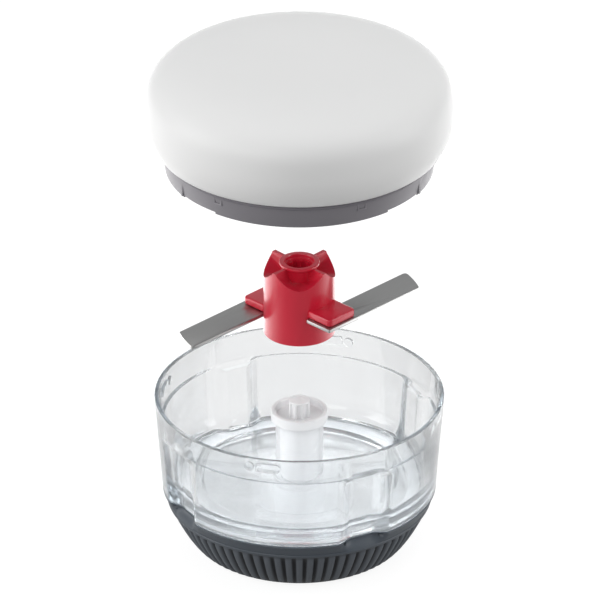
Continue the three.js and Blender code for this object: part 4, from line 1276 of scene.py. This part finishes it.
# %% Cup
CUP_BOTTOM = 1.0
BAND_BOTTOM = GRIP_TOP + SEAT_GAP
BAND_LIP_TOP = BAND_BOTTOM + 1.2
BAND_PROUD = 0.5
BAND_FOOT = 25.5
BAND_HEIGHTS = [25.7, 26.6, 27.6, 28.6, 29.6, 30.4]
BAND_RADIUS = 65.5
BAND_FLUTE_LOW = 25.0
BAND_FLUTE_HIGH = 30.8
LIP_RADIUS = 63.5
LIP_CHAMFER = 0.3
LIP_INNER = wall_radius(CLEAR_BOTTOM) - REBATE + SEAT_GAP
CUP_LEDGE_TOP = BOWL_FOOT - SEAT_GAP
CUP_LEDGE_INNER = 54.5
CUP_LEDGE_BOTTOM = CUP_LEDGE_TOP - 2.2
SOCKET_OUTER = 13.0
SOCKET_INNER = 10.1

foot_side = FOOT_INNER - SEAT_GAP
foot_top = FOOT_TALL + SEAT_GAP
outside = [(base_radius(z) - CUP_SKIN, z) for z in [foot_top, *grip_heights[3:-1], BAND_BOTTOM]]
inside = [(base_radius(z) - CUP_SKIN - CUP_WALL, z) for z in [*grip_heights[-2:3:-1], CUP_FLOOR]]
cup = spun("base_shell", [
    (0, CUP_BOTTOM),
    (foot_side, CUP_BOTTOM),
    (foot_side, foot_top),
    *outside,
    *rounded([
        (base_radius(BAND_BOTTOM) - 1, BAND_BOTTOM),
        (base_radius(BAND_BOTTOM) + BAND_PROUD, BAND_BOTTOM, 0.4),
        (base_radius(BAND_LIP_TOP) + BAND_PROUD, BAND_LIP_TOP, 0.4),
        (base_radius(BAND_FOOT), BAND_FOOT),
    ])[1:],
    *[(base_radius(z), z) for z in BAND_HEIGHTS],
    (wall_radius(CLEAR_BOTTOM), LIP_HEIGHT - LIP_CHAMFER),
    (wall_radius(CLEAR_BOTTOM) - LIP_CHAMFER, LIP_HEIGHT),
    (LIP_INNER, LIP_HEIGHT),
    (LIP_INNER, CUP_LEDGE_TOP),
    (CUP_LEDGE_INNER, CUP_LEDGE_TOP),
    (CUP_LEDGE_INNER, CUP_LEDGE_BOTTOM),
    *inside,
    (SOCKET_OUTER, CUP_FLOOR),
    (SOCKET_OUTER, CUP_LEDGE_TOP - SEAT_GAP),
    (SOCKET_INNER, CUP_LEDGE_TOP - SEAT_GAP),
    (SOCKET_INNER, CUP_FLOOR),
    (0, CUP_FLOOR),
], BOWL_STEPS)

edit(cup)
for step, share in flute_shares():
    for height in [*BAND_HEIGHTS, LIP_HEIGHT - LIP_CHAMFER, LIP_HEIGHT]:
        reach = smooth_step(BAND_FLUTE_LOW, BAND_FLUTE_HIGH, height)
        choose(lambda r, b, z: on_column(b, step) and abs(z - height) < 0.05 and r > LIP_INNER + 0.2)
        draw_in(BAND_RADIUS, FLUTE_OUTSIDE * share * reach)
    choose(lambda r, b, z: on_column(b, step) and abs(r - LIP_INNER) < 0.2 and z > CUP_LEDGE_TOP - 0.1)
    draw_in(LIP_RADIUS, FLUTE_OUTSIDE * share)
bpy.ops.object.mode_set(mode="OBJECT")

# %% Pale inside of the cup
finished(cup, "root", ["base_cup"], slate_smooth, smooth=32)
cup.data.materials.append(pale_liner)
pale_faces = 0
for face in cup.data.polygons:
    x, y, z = face.center / MM
    radius = math.hypot(x, y)
    skin_here = base_radius(max(z, 0.1)) - CUP_SKIN - 0.5
    looks_out = radius > FLOOR_DISC and face.normal.x * x + face.normal.y * y > 0.2 * radius
    on_inside = CUP_FLOOR - 0.1 < z < CUP_LEDGE_TOP + 0.1 and radius < min(skin_here, LIP_INNER - 0.3)
    if on_inside and not looks_out:
        face.material_index = 1
        pale_faces += 1
print("pale faces inside the cup:", pale_faces)

# %% Ribbed skin
GRIP_RIBS = 72
GRIP_RIB_DEPTH = 2.0
GRIP_RIB_SHAPE = [0, 0, 0.12, 0.8, 1.0, 0.8, 0.12, 0]
GRIP_COLUMNS = GRIP_RIBS * len(GRIP_RIB_SHAPE)

outer = [(base_radius(z), z) for z in grip_heights]
inner = [(base_radius(z) - GRIP_THICK, z) for z in grip_heights[::-1]]
grip = spun("base_skin", outer + inner, GRIP_COLUMNS)


def rib_share(bearing):
    """How far the column at a bearing is drawn in, from 0 on a ridge to 1 in a groove."""
    return GRIP_RIB_SHAPE[round(bearing * GRIP_COLUMNS / 360) % len(GRIP_RIB_SHAPE)]


edit(grip)
for level, height in enumerate(grip_heights):
    from_end = min(level, len(grip_heights) - 1 - level)
    fade = smooth_step(0, 2.5, from_end)
    for share in sorted(set(GRIP_RIB_SHAPE)):
        depth = GRIP_RIB_DEPTH * (share * fade + 0.5 * (1 - fade))
        choose(lambda r, b, z: abs(z - height) < 0.02 and r > base_radius(height) - 0.5
               and rib_share(b) == share)
        draw_in(base_radius(height), depth)
bpy.ops.object.mode_set(mode="OBJECT")

# %% Painted shade in the grooves
# The grooves of the soft skin get painted shade: a mask on the mesh marks them by their depth, and the
# material darkens its colour there.
GROOVE_SHADE_STARTS = 0.3
GROOVE_SHADE_FULL = 0.85 * GRIP_RIB_DEPTH

groove_shade = grip.data.attributes.new("groove_shade", "FLOAT", "POINT")
for vertex, mark in zip(grip.data.vertices, groove_shade.data):
    x, y, z = vertex.co / MM
    depth = base_radius(z) - math.hypot(x, y)
    if depth < GRIP_THICK - 0.3:
        mark.value = smooth_step(GROOVE_SHADE_STARTS, GROOVE_SHADE_FULL, depth)
finished(grip, "root", ["base_grip"], slate_soft, smooth=50)

# %% Foot ring
foot = spun("foot_pad", rounded([
    (FOOT_INNER, 0, 0.4),
    (FOOT_RADIUS, 0, 0.6),
    (FOOT_RADIUS, FOOT_TALL, 0.5),
    (FOOT_INNER, FOOT_TALL, 0.3),
]), LATHE_STEPS)
finished(foot, "root", ["foot_ring"], dark_rubber)

# %% [markdown]
# ## Works inside the lid
# The gears, pins, shafts and screws keep their CAD shapes, which are right, and get their real finishes.

# %% Finishes of the carried-over parts
def three(name):
    """The numbered names of a part that is there three times."""
    return [f"{name}_{i}" for i in (1, 2, 3)]


KEPT = {
    plain_steel: ["spindle_clip", "drive_shaft", "drive_screw", "rotor_washer", "rotor_screw",
                  *three("cover_screw"), *three("planet_pin")],
    gear_nylon: ["sun_gear", "crank_rotor", *three("planet_gear")],
    ring_grey: ["cover_plate"],
    white_moulding: ["drive_cross"],
    bush_bronze: ["shaft_bush"],
}
for material, names in KEPT.items():
    for name in names:
        for slot in nodes[name].material_slots:
            slot.material = material
print("carried over:", sum(len(names) for names in KEPT.values()), "nodes")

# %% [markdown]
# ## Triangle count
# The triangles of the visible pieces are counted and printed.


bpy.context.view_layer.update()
print("triangles:", sum(len(p.data.loop_triangles) for p in pieces if not p.data.calc_loop_triangles()))
